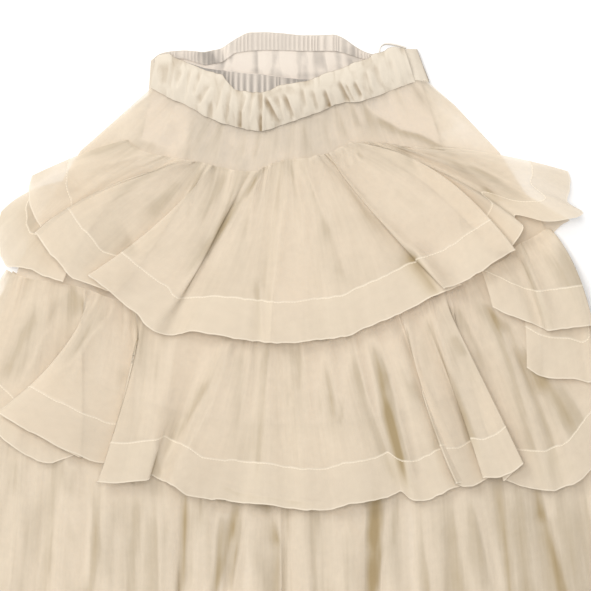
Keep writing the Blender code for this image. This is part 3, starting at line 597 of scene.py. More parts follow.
# Creases with painted shade in them. Rows with no depth only paint: shade, or light where the shade is
# negative, as along the strip just under the middle tier's hem.
BOTTOM_CREASES = (
    Crease(-135, 575, -150, 830, 6, 1.0, 0.55),
    Crease(-91, 600, -106, 828, 5, 1.0, 0.35),
    Crease(-69, 588, -98, 700, 6, 1.0, 0.5),
    Crease(-98, 700, -118, 820, 7, 1.0, 0.3),
    Crease(-34, 590, -21, 642, 6, 1.0, 0.5),
    Crease(-21, 642, -26, 836, 5, 1.0, 0.5),
    Crease(-11, 630, -12, 780, 4, 1.0, 0.4),
    Crease(21, 600, 33, 838, 6, 1.0, 0.35),
    Crease(62, 594, 72, 800, 7, 1.0, 0.4),
    Crease(104, 566, 99, 642, 7, 1.0, 0.8),
    Crease(99, 642, 92, 800, 6, 1.0, 0.55),
    Crease(156, 588, 176, 830, 7, 1.0, 0.45),
    Crease(194, 580, 222, 820, 8, 1.0, 0.4),
    Crease(256, 560, 275, 760, 7, 1.0, 0.45),
    Crease(304, 570, 312, 611, 6, 1.0, 0.6),
    Crease(312, 611, 372, 820, 7, 1.0, 0.5),
    Crease(230, 640, 246, 830, 9, 1.0, 0.3),
    Crease(-194, 566, -210, 800, 6, 1.0, 0.3),
    Crease(-244, 560, -262, 820, 7, 1.0, 0.35),
    Crease(-294, 545, -325, 810, 7, 1.0, 0.25),
    Crease(-340, 540, -376, 800, 7, 1.0, 0.25),
    Crease(360, 560, 410, 810, 7, 1.0, 0.35),
    Crease(190, 570, 200, 860, 120, 0, 0.10),
    Crease(-235, 570, -190, 572, 8, 0, -0.4),
    Crease(-110, 592, -80, 596, 8, 0, -0.35),
    Crease(-50, 604, -25, 606, 14, 0, -0.45),
    Crease(50, 606, 90, 600, 14, 0, -0.45),
    Crease(-256, 590, -262, 690, 10, 0, -0.4),
    Crease(-350, 580, -356, 660, 14, 0, -0.3),
    Crease(58, 600, 58, 700, 14, 0, -0.35),
    Crease(-275, 545, -279, 580, 9, 0, 0.4),
    Crease(84, 590, 87, 700, 8, 0, -0.45),
    Crease(-144, 580, -146, 680, 6, 0, -0.35),
    Crease(-100, 600, -104, 700, 7, 0, -0.35),
    Crease(30, 600, 32, 700, 6, 0, 0.2),
    Crease(-66, 604, -80, 700, 7, 0, 0.55),
    Crease(-128, 600, -131, 700, 8, 0, 0.35),
    Crease(112, 580, 103, 710, 5, 0.4, 0.7),
    Crease(219, 584, 250, 710, 8, 0, 0.55),
    Crease(345, 570, 372, 860, 40, 0, 0.5),
    Crease(-116, 580, -128, 700, 14, 0.8, 0.25),
    Crease(45, 600, 48, 760, 14, 0.8, 0.25),
    Crease(126, 590, 134, 800, 14, 0.8, 0.3),
    Crease(282, 570, 296, 760, 14, 0.8, 0.3),
    Crease(-170, 570, -180, 740, 14, 0.8, 0.2),
    Crease(-20, 590, -20, 640, 60, 0, 0.12),
)


def mirrored(creases: Sequence[Crease], down: float = 0.0) -> tuple[Crease, ...]:
    """Mirrors creases for the other side.

    Args:
        creases: One side's.
        down: How much farther down the new ones lie.

    Returns:
        The other side's.
    """
    return tuple(
        item._replace(x=-item.x, end_x=-item.end_x, down=item.down + down, end_down=item.end_down + down)
        for item in creases
    )


def between(low: Amount, high: Amount, share: Amount) -> Amount:
    """The value at a share of the way from low to high."""
    return low + (high - low) * share


def smooth_step(low: float, high: float, value: np.ndarray) -> np.ndarray:
    """A smooth rise from 0 at low to 1 at high."""
    share = np.clip((value - low) / (high - low), 0, 1)
    return share * share * (3 - 2 * share)


def smooth_through(lines: np.ndarray, steps: int) -> np.ndarray:
    """A Catmull-Rom curve through the first axis of an array.

    Args:
        lines: Points, or rows of points, along the first axis.
        steps: Steps from each one to the next.

    Returns:
        The finer array, which ends with the last of lines.
    """
    held = np.concatenate([2 * lines[:1] - lines[1:2], lines, 2 * lines[-1:] - lines[-2:-1]])
    before, start, end, after = (held[shift : shift + len(lines) - 1] for shift in range(4))
    shape = (steps,) + (1,) * lines.ndim
    share = (np.arange(steps) / steps).reshape(shape)
    found = 0.5 * (
        2 * start
        + (end - before) * share
        + (2 * before - 5 * start + 4 * end - after) * share**2
        + (3 * start - before - 3 * end + after) * share**3
    )
    woven = np.moveaxis(found, 0, 1).reshape(-1, *lines.shape[1:])
    return np.concatenate([woven, lines[-1:]])


def curved(start: np.ndarray, middle: np.ndarray, end: np.ndarray, share: np.ndarray) -> np.ndarray:
    """Points at shares of the way along the parabola through three points."""
    from_start, from_end = start * (1 - share) * (1 - 2 * share), end * share * (2 * share - 1)
    return from_start + middle * 4 * share * (1 - share) + from_end


def refined(grid: np.ndarray, parts: int) -> np.ndarray:
    """Cuts a grid finer.

    Args:
        grid: Points by column and row.
        parts: How many parts each face is cut into each way.

    Returns:
        The finer grid.
    """
    for _ in range(2):
        places = np.arange((len(grid) - 1) * parts + 1) / parts
        low = np.minimum(places.astype(int), len(grid) - 2)
        share = (places - low)[:, None, None]
        grid = between(grid[low], grid[low + 1], share).transpose(1, 0, 2)
    return grid


def waist_at(x: Amount, part: str) -> np.ndarray:
    """A value of the waist table at x, on straight steps between its sections."""
    return np.interp(x, [section.x for section in WAIST], [getattr(section, part) for section in WAIST])


def under_front_band(x: np.ndarray) -> np.ndarray:
    """How far down the yoke starts at x: under the front band, or right of it just below the turned end."""
    tucked = waist_at(x, "band_low") - HIDDEN_EDGE
    return np.where(x > SIDE_SEAM[1][0], RIGHT_END[1][1] + TURN_CLEARANCE, tucked)


class Streaks:
    """Uneven ripples that run down a cloth, from a seeded lattice that is stretched that way."""

    def __init__(self, pitch: float, length: float, seed: int) -> None:
        """Makes the lattice.

        Args:
            pitch: Across, from one ripple to the next.
            length: Down, over which a ripple turns into another.
            seed: The lattice's own.
        """
        self.pitch = pitch
        self.length = length
        self.lattice = np.random.default_rng(seed).uniform(-1, 1, (512, 64))

    def at(self, across: np.ndarray, down: np.ndarray) -> np.ndarray:
        """Finds the ripples' height.

        Args:
            across: Places in millimetres.
            down: How far down they are.

        Returns:
            Heights from -1 to 1.
        """
        a, d = across / self.pitch + 7, down / self.length + 3
        i, j = np.floor(a).astype(int), np.floor(d).astype(int)
        s, t = smooth_step(0, 1, a - i), smooth_step(0, 1, d - j)
        rows, columns = self.lattice.shape
        corner = [[self.lattice[(i + m) % rows, (j + n) % columns] for n in (0, 1)] for m in (0, 1)]
        near = between(corner[0][0], corner[1][0], s)
        far = between(corner[0][1], corner[1][1], s)
        return between(near, far, t)


def wobble(places: np.ndarray, kinds: Sequence[tuple[float, int]]) -> np.ndarray:
    """Uneven waves along a line, the sum of one for each pitch and seed."""
    return sum(Streaks(pitch, ENDLESS, seed).at(places, 0 * places) for pitch, seed in kinds)


@dataclass
class Surface:
    """A cloth as a grid of x, down and height: columns across it, rows from its sewn edge to its hem."""

    points: np.ndarray
    shade: np.ndarray = field(init=False)

    def __post_init__(self) -> None:
        """Starts with no painted shade."""
        self.shade = np.zeros(self.points.shape[:2])

    def from_hem(self) -> np.ndarray:
        """Measures along the cloth.

        Returns:
            Each point's distance to its hem.
        """
        steps = np.linalg.norm(np.diff(self.points, axis=1), axis=2)
        far = np.cumsum(steps[:, ::-1], axis=1)[:, ::-1]
        return np.concatenate([far, np.zeros((len(far), 1))], axis=1)

    def from_seam(self) -> np.ndarray:
        """Each point's distance along the cloth from its sewn edge."""
        hem = self.from_hem()
        return hem[:, :1] - hem

    def across(self, row: int) -> np.ndarray:
        """Each column's distance from the first, along one row."""
        steps = np.linalg.norm(np.diff(self.points[:, row], axis=0), axis=1)
        return np.concatenate([[0.0], np.cumsum(steps)])

    def normals(self) -> np.ndarray:
        """Works out how the cloth stands.

        Returns:
            Each point's normal, upwards where most of the cloth's right side is up.
        """
        along = np.gradient(self.points, axis=0)
        down = np.gradient(self.points, axis=1)
        made = np.cross(down, along)
        size = np.maximum(np.linalg.norm(made, axis=2, keepdims=True), 1e-9)
        return made / size * np.where(made[..., 2:].mean() < 0, -1, 1)

    def density(self) -> np.ndarray:
        """How much more cloth lies one over the other where it stands steep, seen from above."""
        return np.clip(1 / np.maximum(np.abs(self.normals()[..., 2]), 1 / MOST_LAYERS), 1, MOST_LAYERS)

    def ripple(self, kind: Ripple, seed: int, height: Amount) -> None:
        """Moves the cloth along its normals by ripples that follow its columns, and paints shade and light on
        them.

        Args:
            kind: The ripples.
            seed: Their own.
            height: Their height in millimetres, one number or one for each point.
        """
        across = np.broadcast_to(self.across(0)[:, None], self.points.shape[:2])
        wave = Streaks(kind.pitch, kind.length, seed).at(across, self.from_seam())
        self.points = self.points + self.normals() * (wave * height)[..., None]
        # painted shade along the fine folds and in the troughs, painted light on the crests
        line = kind.lines * np.exp(-((wave / LINE_WIDTH) ** 2))
        self.shade = self.shade + (line - kind.shade * wave) * (height / np.max(height))

    def crease(self, creases: Sequence[Crease]) -> None:
        """Presses creases into the cloth, and paints shade into them, or light where their shade is negative.

        Args:
            creases: Each one's place, size and shade.
        """
        for item in creases:
            start = np.array([item.x, item.down], float)
            run = np.array([item.end_x, item.end_down], float) - start
            length = float(np.linalg.norm(run))
            offset = self.points[..., :2] - start
            along = offset @ run / length
            aside = offset[..., 0] * run[1] / length - offset[..., 1] * run[0] / length
            fade = RUN_OUT * length
            ends = smooth_step(-fade, fade, along)
            ends = ends * (1 - smooth_step(length - fade, length + fade, along))
            reach = item.width * np.where(aside > 0, CRISP_SIDE, SOFT_SIDE)
            trough = np.exp(-((aside / reach) ** 2)) * ends
            lip = np.exp(-((aside / item.width - LIP_ASIDE) ** 2)) * ends
            form = trough - LIP_SHARE * lip
            self.points[..., 2] = np.maximum(self.points[..., 2] - item.depth * form, LOWEST)
            # painted shade along the trough and a little painted light on its lip, the other way round where
            # the shade is negative
            self.shade += item.shade * form

    def level_path(self, from_hem: float) -> np.ndarray:
        """Finds a line that runs across the cloth.

        Args:
            from_hem: Its distance from the hem.

        Returns:
            Its points, one for each column.
        """
        hem = self.from_hem()
        found = []
        for far, column in zip(hem[:, ::-1], self.points[:, ::-1]):
            found.append([np.interp(from_hem, far, column[:, axis]) for axis in range(3)])
        return np.array(found)


def to_world(points: np.ndarray) -> np.ndarray:
    """Table places, as x, down and height in millimetres, as world places in metres."""
    return np.stack([points[..., 0], CENTRE_DOWN - points[..., 1], points[..., 2]], axis=-1) * MM


@dataclass
class Bed:
    """How high the layers laid so far reach over the surface, on a square grid of cells."""

    cell: float = 6.0
    half: float = 480.0
    grow: int = 5
    smooth: int = 4
    loft: float = 1.5
    top: np.ndarray = field(init=False)

    def __post_init__(self) -> None:
        """Starts with nothing laid."""
        self.count = int(2 * self.half / self.cell) + 1
        self.top = np.zeros((self.count, self.count))

    def cells(self, x: np.ndarray, down: np.ndarray) -> tuple[np.ndarray, np.ndarray]:
        """The grid places of points, in cells."""
        return (x + self.half) / self.cell, (down - CENTRE_DOWN + self.half) / self.cell

    def nearest(self, points: np.ndarray, margin: int) -> tuple[np.ndarray, ...]:
        """The cells that points are in, kept this many cells inside the edge."""
        places = self.cells(points[..., 0], points[..., 1])
        return tuple(np.clip(np.rint(place).astype(int), margin, self.count - 1 - margin) for place in places)

    def softened(self) -> np.ndarray:
        """Spreads the heights past each layer's edge and then softens them by less than that.

        Returns:
            The softened heights.
        """
        found = self.top
        sides = (-1, 0, 1)
        for _ in range(self.grow):
            found = np.maximum.reduce([np.roll(np.roll(found, i, 0), j, 1) for i in sides for j in sides])
        for _ in range(self.smooth):
            for axis in (0, 1):
                found = (np.roll(found, 1, axis) + found + np.roll(found, -1, axis)) / 3
        return found

    def under(self, x: np.ndarray, down: np.ndarray) -> np.ndarray:
        """Finds what points lie on.

        Args:
            x: Where the points are.
            down: How far down they are.

        Returns:
            The softened heights there.
        """
        height = self.softened()
        column, row = self.cells(x, down)
        column, row = np.clip(column, 0, self.count - 2), np.clip(row, 0, self.count - 2)
        i, j = column.astype(int), row.astype(int)
        s, t = column - i, row - j
        near = between(height[i, j], height[i + 1, j], s)
        far = between(height[i, j + 1], height[i + 1, j + 1], s)
        return between(near, far, t)

    def cover(self, laid: np.ndarray) -> None:
        """Raises the cells under a laid grid to its upper side and a seam gap more."""
        fine = refined(laid, 2)
        np.maximum.at(self.top, self.nearest(fine, 0), fine[..., 2] + WALL / 2 + SEAM_GAP)

    def seated(self, grid: np.ndarray) -> np.ndarray:
        """Finds how high a sewn edge lies that is right on what is under it.

        Args:
            grid: The cloth, as x, down and lift.

        Returns:
            The heights of its first row.
        """
        i, j = self.nearest(grid[:, 0], 1)
        sides = (-1, 0, 1)
        under = np.maximum.reduce([self.top[i + a, j + b] for a in sides for b in sides])
        return grid[:, 0, 2] + under + WALL / 2

    def lay(self, grid: np.ndarray, loft: float = 0.0, covers: bool = True) -> Surface:
        """Lays a grid whose third value is its lift.

        Args:
            grid: x, down and lift.
            loft: How far the cloth floats over what it lies on.
            covers: Whether later cloths lie on this one.

        Returns:
            The laid surface.
        """
        laid = grid.copy()
        laid[..., 2] += self.under(grid[..., 0], grid[..., 1]) + WALL / 2 + loft
        if loft:
            drop = laid[:, 0, 2] - self.seated(grid)
            fade = 1 - smooth_step(0, SEAM_FADE, Surface(laid).from_seam())
            laid[..., 2] -= drop[:, None] * fade
        if covers:
            self.cover(laid)
        return Surface(laid)


class Socket:
    """A shader socket whose arithmetic adds Math nodes."""

    def __init__(self, nodes: "Nodes", link: bpy.types.NodeSocket) -> None:
        """Wraps an output socket."""
        self.nodes = nodes
        self.link = link

    def _math(self, operation: str, first: "Value", second: "Value" = None) -> "Socket":
        """One Math node of an operation."""
        values = {0: first} if second is None else {0: first, 1: second}
        return self.nodes.add("ShaderNodeMath", {"operation": operation}, values)["Value"]

    def __add__(self, other: "Value") -> "Socket":
        """Adds."""
        return self._math("ADD", self, other)

    def __sub__(self, other: "Value") -> "Socket":
        """Subtracts."""
        return self._math("SUBTRACT", self, other)

    def __rsub__(self, other: "Value") -> "Socket":
        """Subtracts from a number."""
        return self._math("SUBTRACT", other, self)

    def __mul__(self, other: "Value") -> "Socket":
        """Multiplies."""
        return self._math("MULTIPLY", self, other)

    def __pow__(self, other: "Value") -> "Socket":
        """Raises to a power."""
        return self._math("POWER", self, other)

    def absolute(self) -> "Socket":
        """The value without its sign."""
        return self._math("ABSOLUTE", self)

    def sine(self) -> "Socket":
        """The sine of the value."""
        return self._math("SINE", self)

    def clamped(self) -> "Socket":
        """The value, kept from 0 to 1."""
        return self.nodes.add("ShaderNodeClamp", {}, {"Value": self})["Result"]

    def step(self, low: float, high: float) -> "Socket":
        """Makes a smooth rise.

        Args:
            low: Where it starts from 0.
            high: Where it reaches 1.

        Returns:
            The risen value.
        """
        settings = {"interpolation_type": "SMOOTHSTEP"}
        values = {"Value": self, "From Min": low, "From Max": high}
        return self.nodes.add("ShaderNodeMapRange", settings, values)["Result"]


Value = Union[Socket, float, int, tuple, None]
Outputs = dict[str, Socket]


class Nodes:
    """Makes a material's nodes."""

    def __init__(self, name: str) -> None:
        """Starts a material with no nodes.

        Args:
            name: The material's.
        """
        self.material = bpy.data.materials.new(name)
        self.material.use_nodes = True
        self.tree = self.material.node_tree
        self.tree.nodes.clear()

    def add(self, kind: str, settings: dict, values: dict) -> Outputs:
        """Makes one node.

        Args:
            kind: Its type.
            settings: Its properties, which are set first.
            values: What goes into its sockets, by name or place.

        Returns:
            Its outputs by name.
        """
        node = self.tree.nodes.new(kind)
        for key, value in settings.items():
            setattr(node, key, value)
        for key, value in values.items():
            if isinstance(value, Socket):
                self.tree.links.new(value.link, node.inputs[key])
            else:
                node.inputs[key].default_value = value
        return {out.name: Socket(self, out) for out in node.outputs if out.enabled}

    def attribute(self, name: str) -> Socket:
        """A number that is painted on the mesh."""
        return self.add("ShaderNodeAttribute", {"attribute_name": name}, {})["Fac"]

    def uv(self) -> Socket:
        """The cloth's own map, in metres."""
        return self.add("ShaderNodeUVMap", {"uv_map": "cloth"}, {})["UV"]

    def stretched(self, where: Socket, factor: Colour) -> Socket:
        """A place with each of its numbers multiplied."""
        return self.add("ShaderNodeVectorMath", {"operation": "MULTIPLY"}, {0: where, 1: factor})["Vector"]

    def place(self) -> Socket:
        """The place in the object, in metres."""
        return self.add("ShaderNodeTexCoord", {}, {})["Object"]

    def noise(self, where: Socket, scale: float, detail: float) -> Socket:
        """Soft noise from 0 to 1 with this many features to the metre."""
        return self.add("ShaderNodeTexNoise", {}, {"Vector": where, "Scale": scale, "Detail": detail})["Fac"]

    def split(self, vector: Socket) -> Outputs:
        """A vector's three numbers, as X, Y and Z."""
        return self.add("ShaderNodeSeparateXYZ", {}, {"Vector": vector})

    def mix(self, first: Union[Colour, Socket], second: Union[Colour, Socket], share: Value) -> Socket:
        """Makes a colour between two colours.

        Args:
            first: The colour at 0.
            second: The colour at 1.
            share: How far from the first to the second.

        Returns:
            The mixed colour.
        """
        first = first if isinstance(first, Socket) else (*first, 1.0)
        second = second if isinstance(second, Socket) else (*second, 1.0)
        node = self.tree.nodes.new("ShaderNodeMix")
        node.data_type = "RGBA"
        for key, value in ((0, share), (6, first), (7, second)):
            if isinstance(value, Socket):
                self.tree.links.new(value.link, node.inputs[key])
            else:
                node.inputs[key].default_value = value
        return Socket(self, node.outputs[2])

    def bump(self, height: Socket, distance: float) -> Socket:
        """A normal bent by a height, whose unit is distance in metres."""
        return self.add("ShaderNodeBump", {}, {"Height": height, "Distance": distance})["Normal"]

    def finish(self, values: dict) -> bpy.types.Material:
        """Ends the material with a Principled shader.

        Args:
            values: What goes into the shader, by name.

        Returns:
            The material.
        """
        shader = self.add("ShaderNodeBsdfPrincipled", {}, values)["BSDF"]
        self.add("ShaderNodeOutputMaterial", {}, {"Surface": shader})
        return self.material


def weave(nodes: Nodes, pitch: float) -> Socket:
    """Makes a plain weave.

    Args:
        nodes: The material's.
        pitch: From thread to thread, in metres.

    Returns:
        The weave's height, from -1 to 1.
    """
    place = nodes.split(nodes.uv())
    turn = 2 * math.pi / pitch
    return (place["X"] * turn).sine() * (place["Y"] * turn).sine()


@dataclass(frozen=True)
class NetFinish:
    """Sheer tulle, denser where it stands steep. Its colour turns greyer and browner there, partly from the
    layers seen and partly as painted shade, and with painted shade in its valleys, creases, ripples and
    seams.
    """

    name: str
    alpha: float = 0.58
    hem_alpha: float = 0.72
    thin: Colour = (0.89, 0.765, 0.60)
    # dim and deep are the colours of painted shade: dim the grey of light shade, deep the brown of the
    # darkest, where stacked layers also deepen the colour
    dim: Colour = (0.67, 0.57, 0.435)
    deep: Colour = (0.36, 0.27, 0.148)
    hem: Colour = (0.74, 0.63, 0.49)
    line: Colour = (0.88, 0.79, 0.65)
    hem_width: float = HEM_WIDTH
    mesh_pitch: float = 0.0016
    cloud_scale: float = 22
    wisp_scale: float = 90
    fall_scale: float = 170
    fall_stretch: Colour = (1.0, 0.08, 1.0)
    cloud_alpha: float = 0.22
    wisp_alpha: float = 0.10
    shade_alpha: float = 0.25
    line_alpha: float = 0.08
    mesh_alpha: float = 0.04
    steep_depth: float = 0.40
    shade_depth: float = 0.9
    cloud_depth: float = 0.65
    fall_depth: float = 0.45
    band_colour: float = 0.6
    band_calm: float = 0.25
    dim_gain: float = 1.55
    deep_range: tuple[float, float] = (0.3, 1.95)
    line_colour: float = 0.45
    soft_edge: float = 0.8
    edge_line: tuple[float, float] = (0.5, 1.6)
    fold_line: tuple[float, float] = (0.5, 1.5)
    fold_inset: float = 0.7

    def material(self) -> bpy.types.Material:
        """Makes the finish.

        Returns:
            The new material.
        """
        nodes = Nodes(self.name)
        from_hem = nodes.attribute("from_hem")
        layers = nodes.attribute("layers")
        shade = nodes.attribute("shade")
        cloud = nodes.noise(nodes.place(), self.cloud_scale, 3) - 0.5
        wisp = nodes.noise(nodes.uv(), self.wisp_scale, 2)
        fall = nodes.noise(nodes.stretched(nodes.uv(), self.fall_stretch), self.fall_scale, 3) - 0.5
        band = 1 - from_hem.step(self.hem_width - self.soft_edge, self.hem_width + self.soft_edge)
        edge = 1 - (from_hem - self.hem_width).absolute().step(*self.edge_line)
        fold = 1 - (from_hem - self.fold_inset).absolute().step(*self.fold_line)
        line = (edge + fold).clamped()
        mesh = weave(nodes, self.mesh_pitch)
        one = band * (self.hem_alpha - self.alpha) + self.alpha
        one = one + cloud * self.cloud_alpha + (wisp - 0.5) * self.wisp_alpha
        one = (one + line * self.line_alpha + mesh * self.mesh_alpha + shade * self.shade_alpha).clamped()
        alpha = (1 - (1 - one) ** layers).clamped()
        # depth is the painted shade: from the layers seen where the cloth stands steep, partly denser cloth,
        # and from the shade painted by creases, ripples and seams, which also makes the cloth less sheer;
        # clouds and falls add random tone
        depth = (layers - 1) * self.steep_depth + shade * self.shade_depth
        depth = depth + cloud * self.cloud_depth + fall * self.fall_depth
        depth = depth * (1 - band * self.band_calm)
        colour = nodes.mix(self.thin, self.hem, band * self.band_colour)
        # painted shade, first grey, then brown
        colour = nodes.mix(colour, self.dim, (depth * self.dim_gain).clamped())
        colour = nodes.mix(colour, self.deep, depth.step(*self.deep_range))
        colour = nodes.mix(colour, self.line, line * self.line_colour)
        return nodes.finish(
            {
                "Base Color": colour,
                "Roughness": 0.82,
                "Alpha": alpha,
                "Sheen Weight": 0.15,
                "Sheen Roughness": 0.4,
                "Specular IOR Level": 0.25,
                "Normal": nodes.bump(mesh + wisp * 2, 0.00012),
            }
        )


@dataclass(frozen=True)
class WovenFinish:
    """An opaque plain-woven cloth with a faint sheen, darkened towards its deep colour by painted shade where
    it stands steep or has shade painted in, and by random clouds and slubs.
    """

    name: str
    light: Colour
    # deep is the colour of its painted shade and of its darker random tone
    deep: Colour
    roughness: float
    sheen: float
    pitch: float = 0.0009
    steep_depth: float = 0.45
    cloud_depth: float = 0.3
    slub_depth: float = 0.12
    slub_roughness: float = 0.2

    def material(self) -> bpy.types.Material:
        """Makes the finish.

        Returns:
            The new material.
        """
        nodes = Nodes(self.name)
        layers = nodes.attribute("layers")
        shade = nodes.attribute("shade")
        cloud = nodes.noise(nodes.place(), 35, 3)
        slub = nodes.noise(nodes.uv(), 400, 2)
        threads = weave(nodes, self.pitch)
        depth = (layers - 1) * self.steep_depth + shade
        depth = depth + (cloud - 0.5) * self.cloud_depth + (slub - 0.5) * self.slub_depth
        colour = nodes.mix(self.light, self.deep, depth.clamped())
        return nodes.finish(
            {
                "Base Color": colour,
                "Roughness": (slub - 0.5) * self.slub_roughness + self.roughness,
                "Sheen Weight": self.sheen,
                "Sheen Roughness": 0.35,
                "Specular IOR Level": 0.35,
                "Normal": nodes.bump(threads + slub * 2, 0.00008),
            }
        )


@dataclass(frozen=True)
class PlainFinish:
    """A thread, ribbon or floor of nearly one colour."""

    name: str
    light: Colour
    deep: Colour
    roughness: float
    scale: float

    def material(self) -> bpy.types.Material:
        """Makes the finish.

        Returns:
            The new material.
        """
        nodes = Nodes(self.name)
        cloud = nodes.noise(nodes.place(), self.scale, 2)
        return nodes.finish(
            {
                "Base Color": nodes.mix(self.light, self.deep, cloud),
                "Roughness": (cloud - 0.5) * 0.1 + self.roughness,
                "Specular IOR Level": 0.3,
            }
        )


@dataclass(frozen=True)
class Finishes:
    """Every material of the skirt."""

    tulle: bpy.types.Material
    yoke: bpy.types.Material
    band: bpy.types.Material
    lining: bpy.types.Material
    ribbon: bpy.types.Material
    thread: bpy.types.Material

    @classmethod
    def made(cls) -> "Finishes":
        """Makes them all.

        Returns:
            The finishes.
        """
        return cls(
            tulle=NetFinish("tulle_ruffle").material(),
            yoke=NetFinish("tulle_yoke", alpha=0.5, hem_alpha=0.5, hem_width=-10.0).material(),
            # for the band and the lining, the second colour is their painted shade colour
            band=WovenFinish("band_cotton", (0.745, 0.66, 0.54), (0.34, 0.25, 0.15), 0.72, 0.15).material(),
            lining=WovenFinish("lining_cloth", (0.79, 0.70, 0.605), (0.36, 0.32, 0.28), 0.6, 0.2).material(),
            ribbon=PlainFinish("satin_ribbon", (0.84, 0.79, 0.70), (0.76, 0.69, 0.60), 0.35, 300).material(),
            thread=PlainFinish("hem_thread", (0.86, 0.78, 0.64), (0.78, 0.68, 0.53), 0.6, 900).material(),
        )


@dataclass(frozen=True)
class Cut:
    """The flat size that a cloth is cut to, in metres, and the share of that rectangle that it fills."""

    width: float
    length: float
    share: float = 1.0


class Tailor:
    """Turns laid surfaces into the skirt's pieces."""

    def __init__(self, finishes: Finishes) -> None:
        """Keeps the finishes that the pieces take."""
        self.finishes = finishes

    def mesh(self, name: str, surface: Surface) -> bpy.types.Mesh:
        """Makes a grid mesh with its cloth map and the numbers that its material reads.

        Args:
            name: The mesh's.
            surface: Where the cloth lies, and its shade.

        Returns:
            The new mesh.
        """
        columns, rows = surface.points.shape[:2]
        index = np.arange(columns * rows).reshape(columns, rows)
        corners = (index[:-1, :-1], index[:-1, 1:], index[1:, 1:], index[1:, :-1])
        faces = np.stack(corners, axis=-1).reshape(-1, 4)
        made = bpy.data.meshes.new(name)
        made.from_pydata(to_world(surface.points).reshape(-1, 3), [], faces.tolist())
        made.shade_smooth()
        numbers = {"from_hem": surface.from_hem(), "layers": surface.density(), "shade": surface.shade}
        for key, values in numbers.items():
            painted = made.attributes.new(key, "FLOAT", "POINT")
            painted.data.foreach_set("value", values.astype(np.float32).ravel())
        wide = np.broadcast_to(surface.across(rows // 2)[:, None], (columns, rows))
        flat = np.stack([wide, surface.from_seam()], axis=-1).reshape(-1, 2) * MM
        corner = np.zeros(len(made.loops), np.int32)
        made.loops.foreach_get("vertex_index", corner)
        made.uv_layers.new(name="cloth").data.foreach_set("uv", flat[corner].astype(np.float32).ravel())
        return made

    def piece(
        self,
        name: str,
        surface: Surface,
        material: bpy.types.Material,
    ) -> bpy.types.Object:
        """Makes a cloth that stands for the CAD node of its name.

        Args:
            name: The node's name.
            surface: Where the cloth lies.
            material: Its finish.

        Returns:
            The new object.
        """
        item = bpy.data.objects.new(f"{name}_cloth", self.mesh(f"{name}_cloth", surface))
        bpy.context.scene.collection.objects.link(item)
        item.data.materials.append(material)
        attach(item, ROOT)
        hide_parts(name)
        return item


class StitchTree:
    """A Geometry Nodes tree that sets stitches along the edges of a mesh."""

    def __init__(self) -> None:
        """Builds the tree once for every row of stitches."""
        self.tree = bpy.data.node_groups.new("stitch_row", "GeometryNodeTree")
        face = self.tree.interface
        sizes = ("Pitch", "Stitch Length", "Thread Radius")
        kinds = {"Geometry": "Geometry", **dict.fromkeys(sizes, "Float"), "Thread": "Material"}
        for name, kind in kinds.items():
            face.new_socket(name=name, in_out="INPUT", socket_type=f"NodeSocket{kind}")
        face.new_socket(name="Geometry", in_out="OUTPUT", socket_type="NodeSocketGeometry")
        start = self.node("NodeGroupInput")
        curve = self.node("GeometryNodeMeshToCurve", {}, {"Mesh": start.outputs["Geometry"]})
        wanted = {"Curve": curve.outputs["Curve"], "Length": start.outputs["Pitch"]}
        points = self.node("GeometryNodeCurveToPoints", {"mode": "LENGTH"}, wanted)
        radius, length = start.outputs["Thread Radius"], start.outputs["Stitch Length"]
        wanted = {"Vertices": 5, "Radius": radius, "Depth": length}
        stitch = self.node("GeometryNodeMeshCylinder", {"fill_type": "TRIANGLE_FAN"}, wanted)
        wanted = {"Points": points.outputs["Points"], "Rotation": points.outputs["Rotation"]}
        copies = self.node("GeometryNodeInstanceOnPoints", {}, {"Instance": stitch.outputs["Mesh"], **wanted})
        real = self.node("GeometryNodeRealizeInstances", {}, {"Geometry": copies.outputs["Instances"]})
        wanted = {"Geometry": real.outputs["Geometry"], "Material": start.outputs["Thread"]}
        dressed = self.node("GeometryNodeSetMaterial", {}, wanted)
        self.node("NodeGroupOutput", {}, {"Geometry": dressed.outputs["Geometry"]})

    def node(
        self, kind: str, settings: Optional[dict] = None, values: Optional[dict] = None
    ) -> bpy.types.Node:
        """Makes one node.

        Args:
            kind: Its type.
            settings: Its properties.
            values: What goes into its sockets.

        Returns:
            The new node.
        """
        made = self.tree.nodes.new(kind)
        for key, value in (settings or {}).items():
            setattr(made, key, value)
        for key, value in (values or {}).items():
            if isinstance(value, bpy.types.NodeSocket):
                self.tree.links.new(value, made.inputs[key])
            else:
                made.inputs[key].default_value = value
        return made

    def identifier(self, name: str) -> str:
        """The identifier of one of the tree's inputs."""
        items = self.tree.interface.items_tree
        return next(item.identifier for item in items if item.name == name and item.in_out == "INPUT")


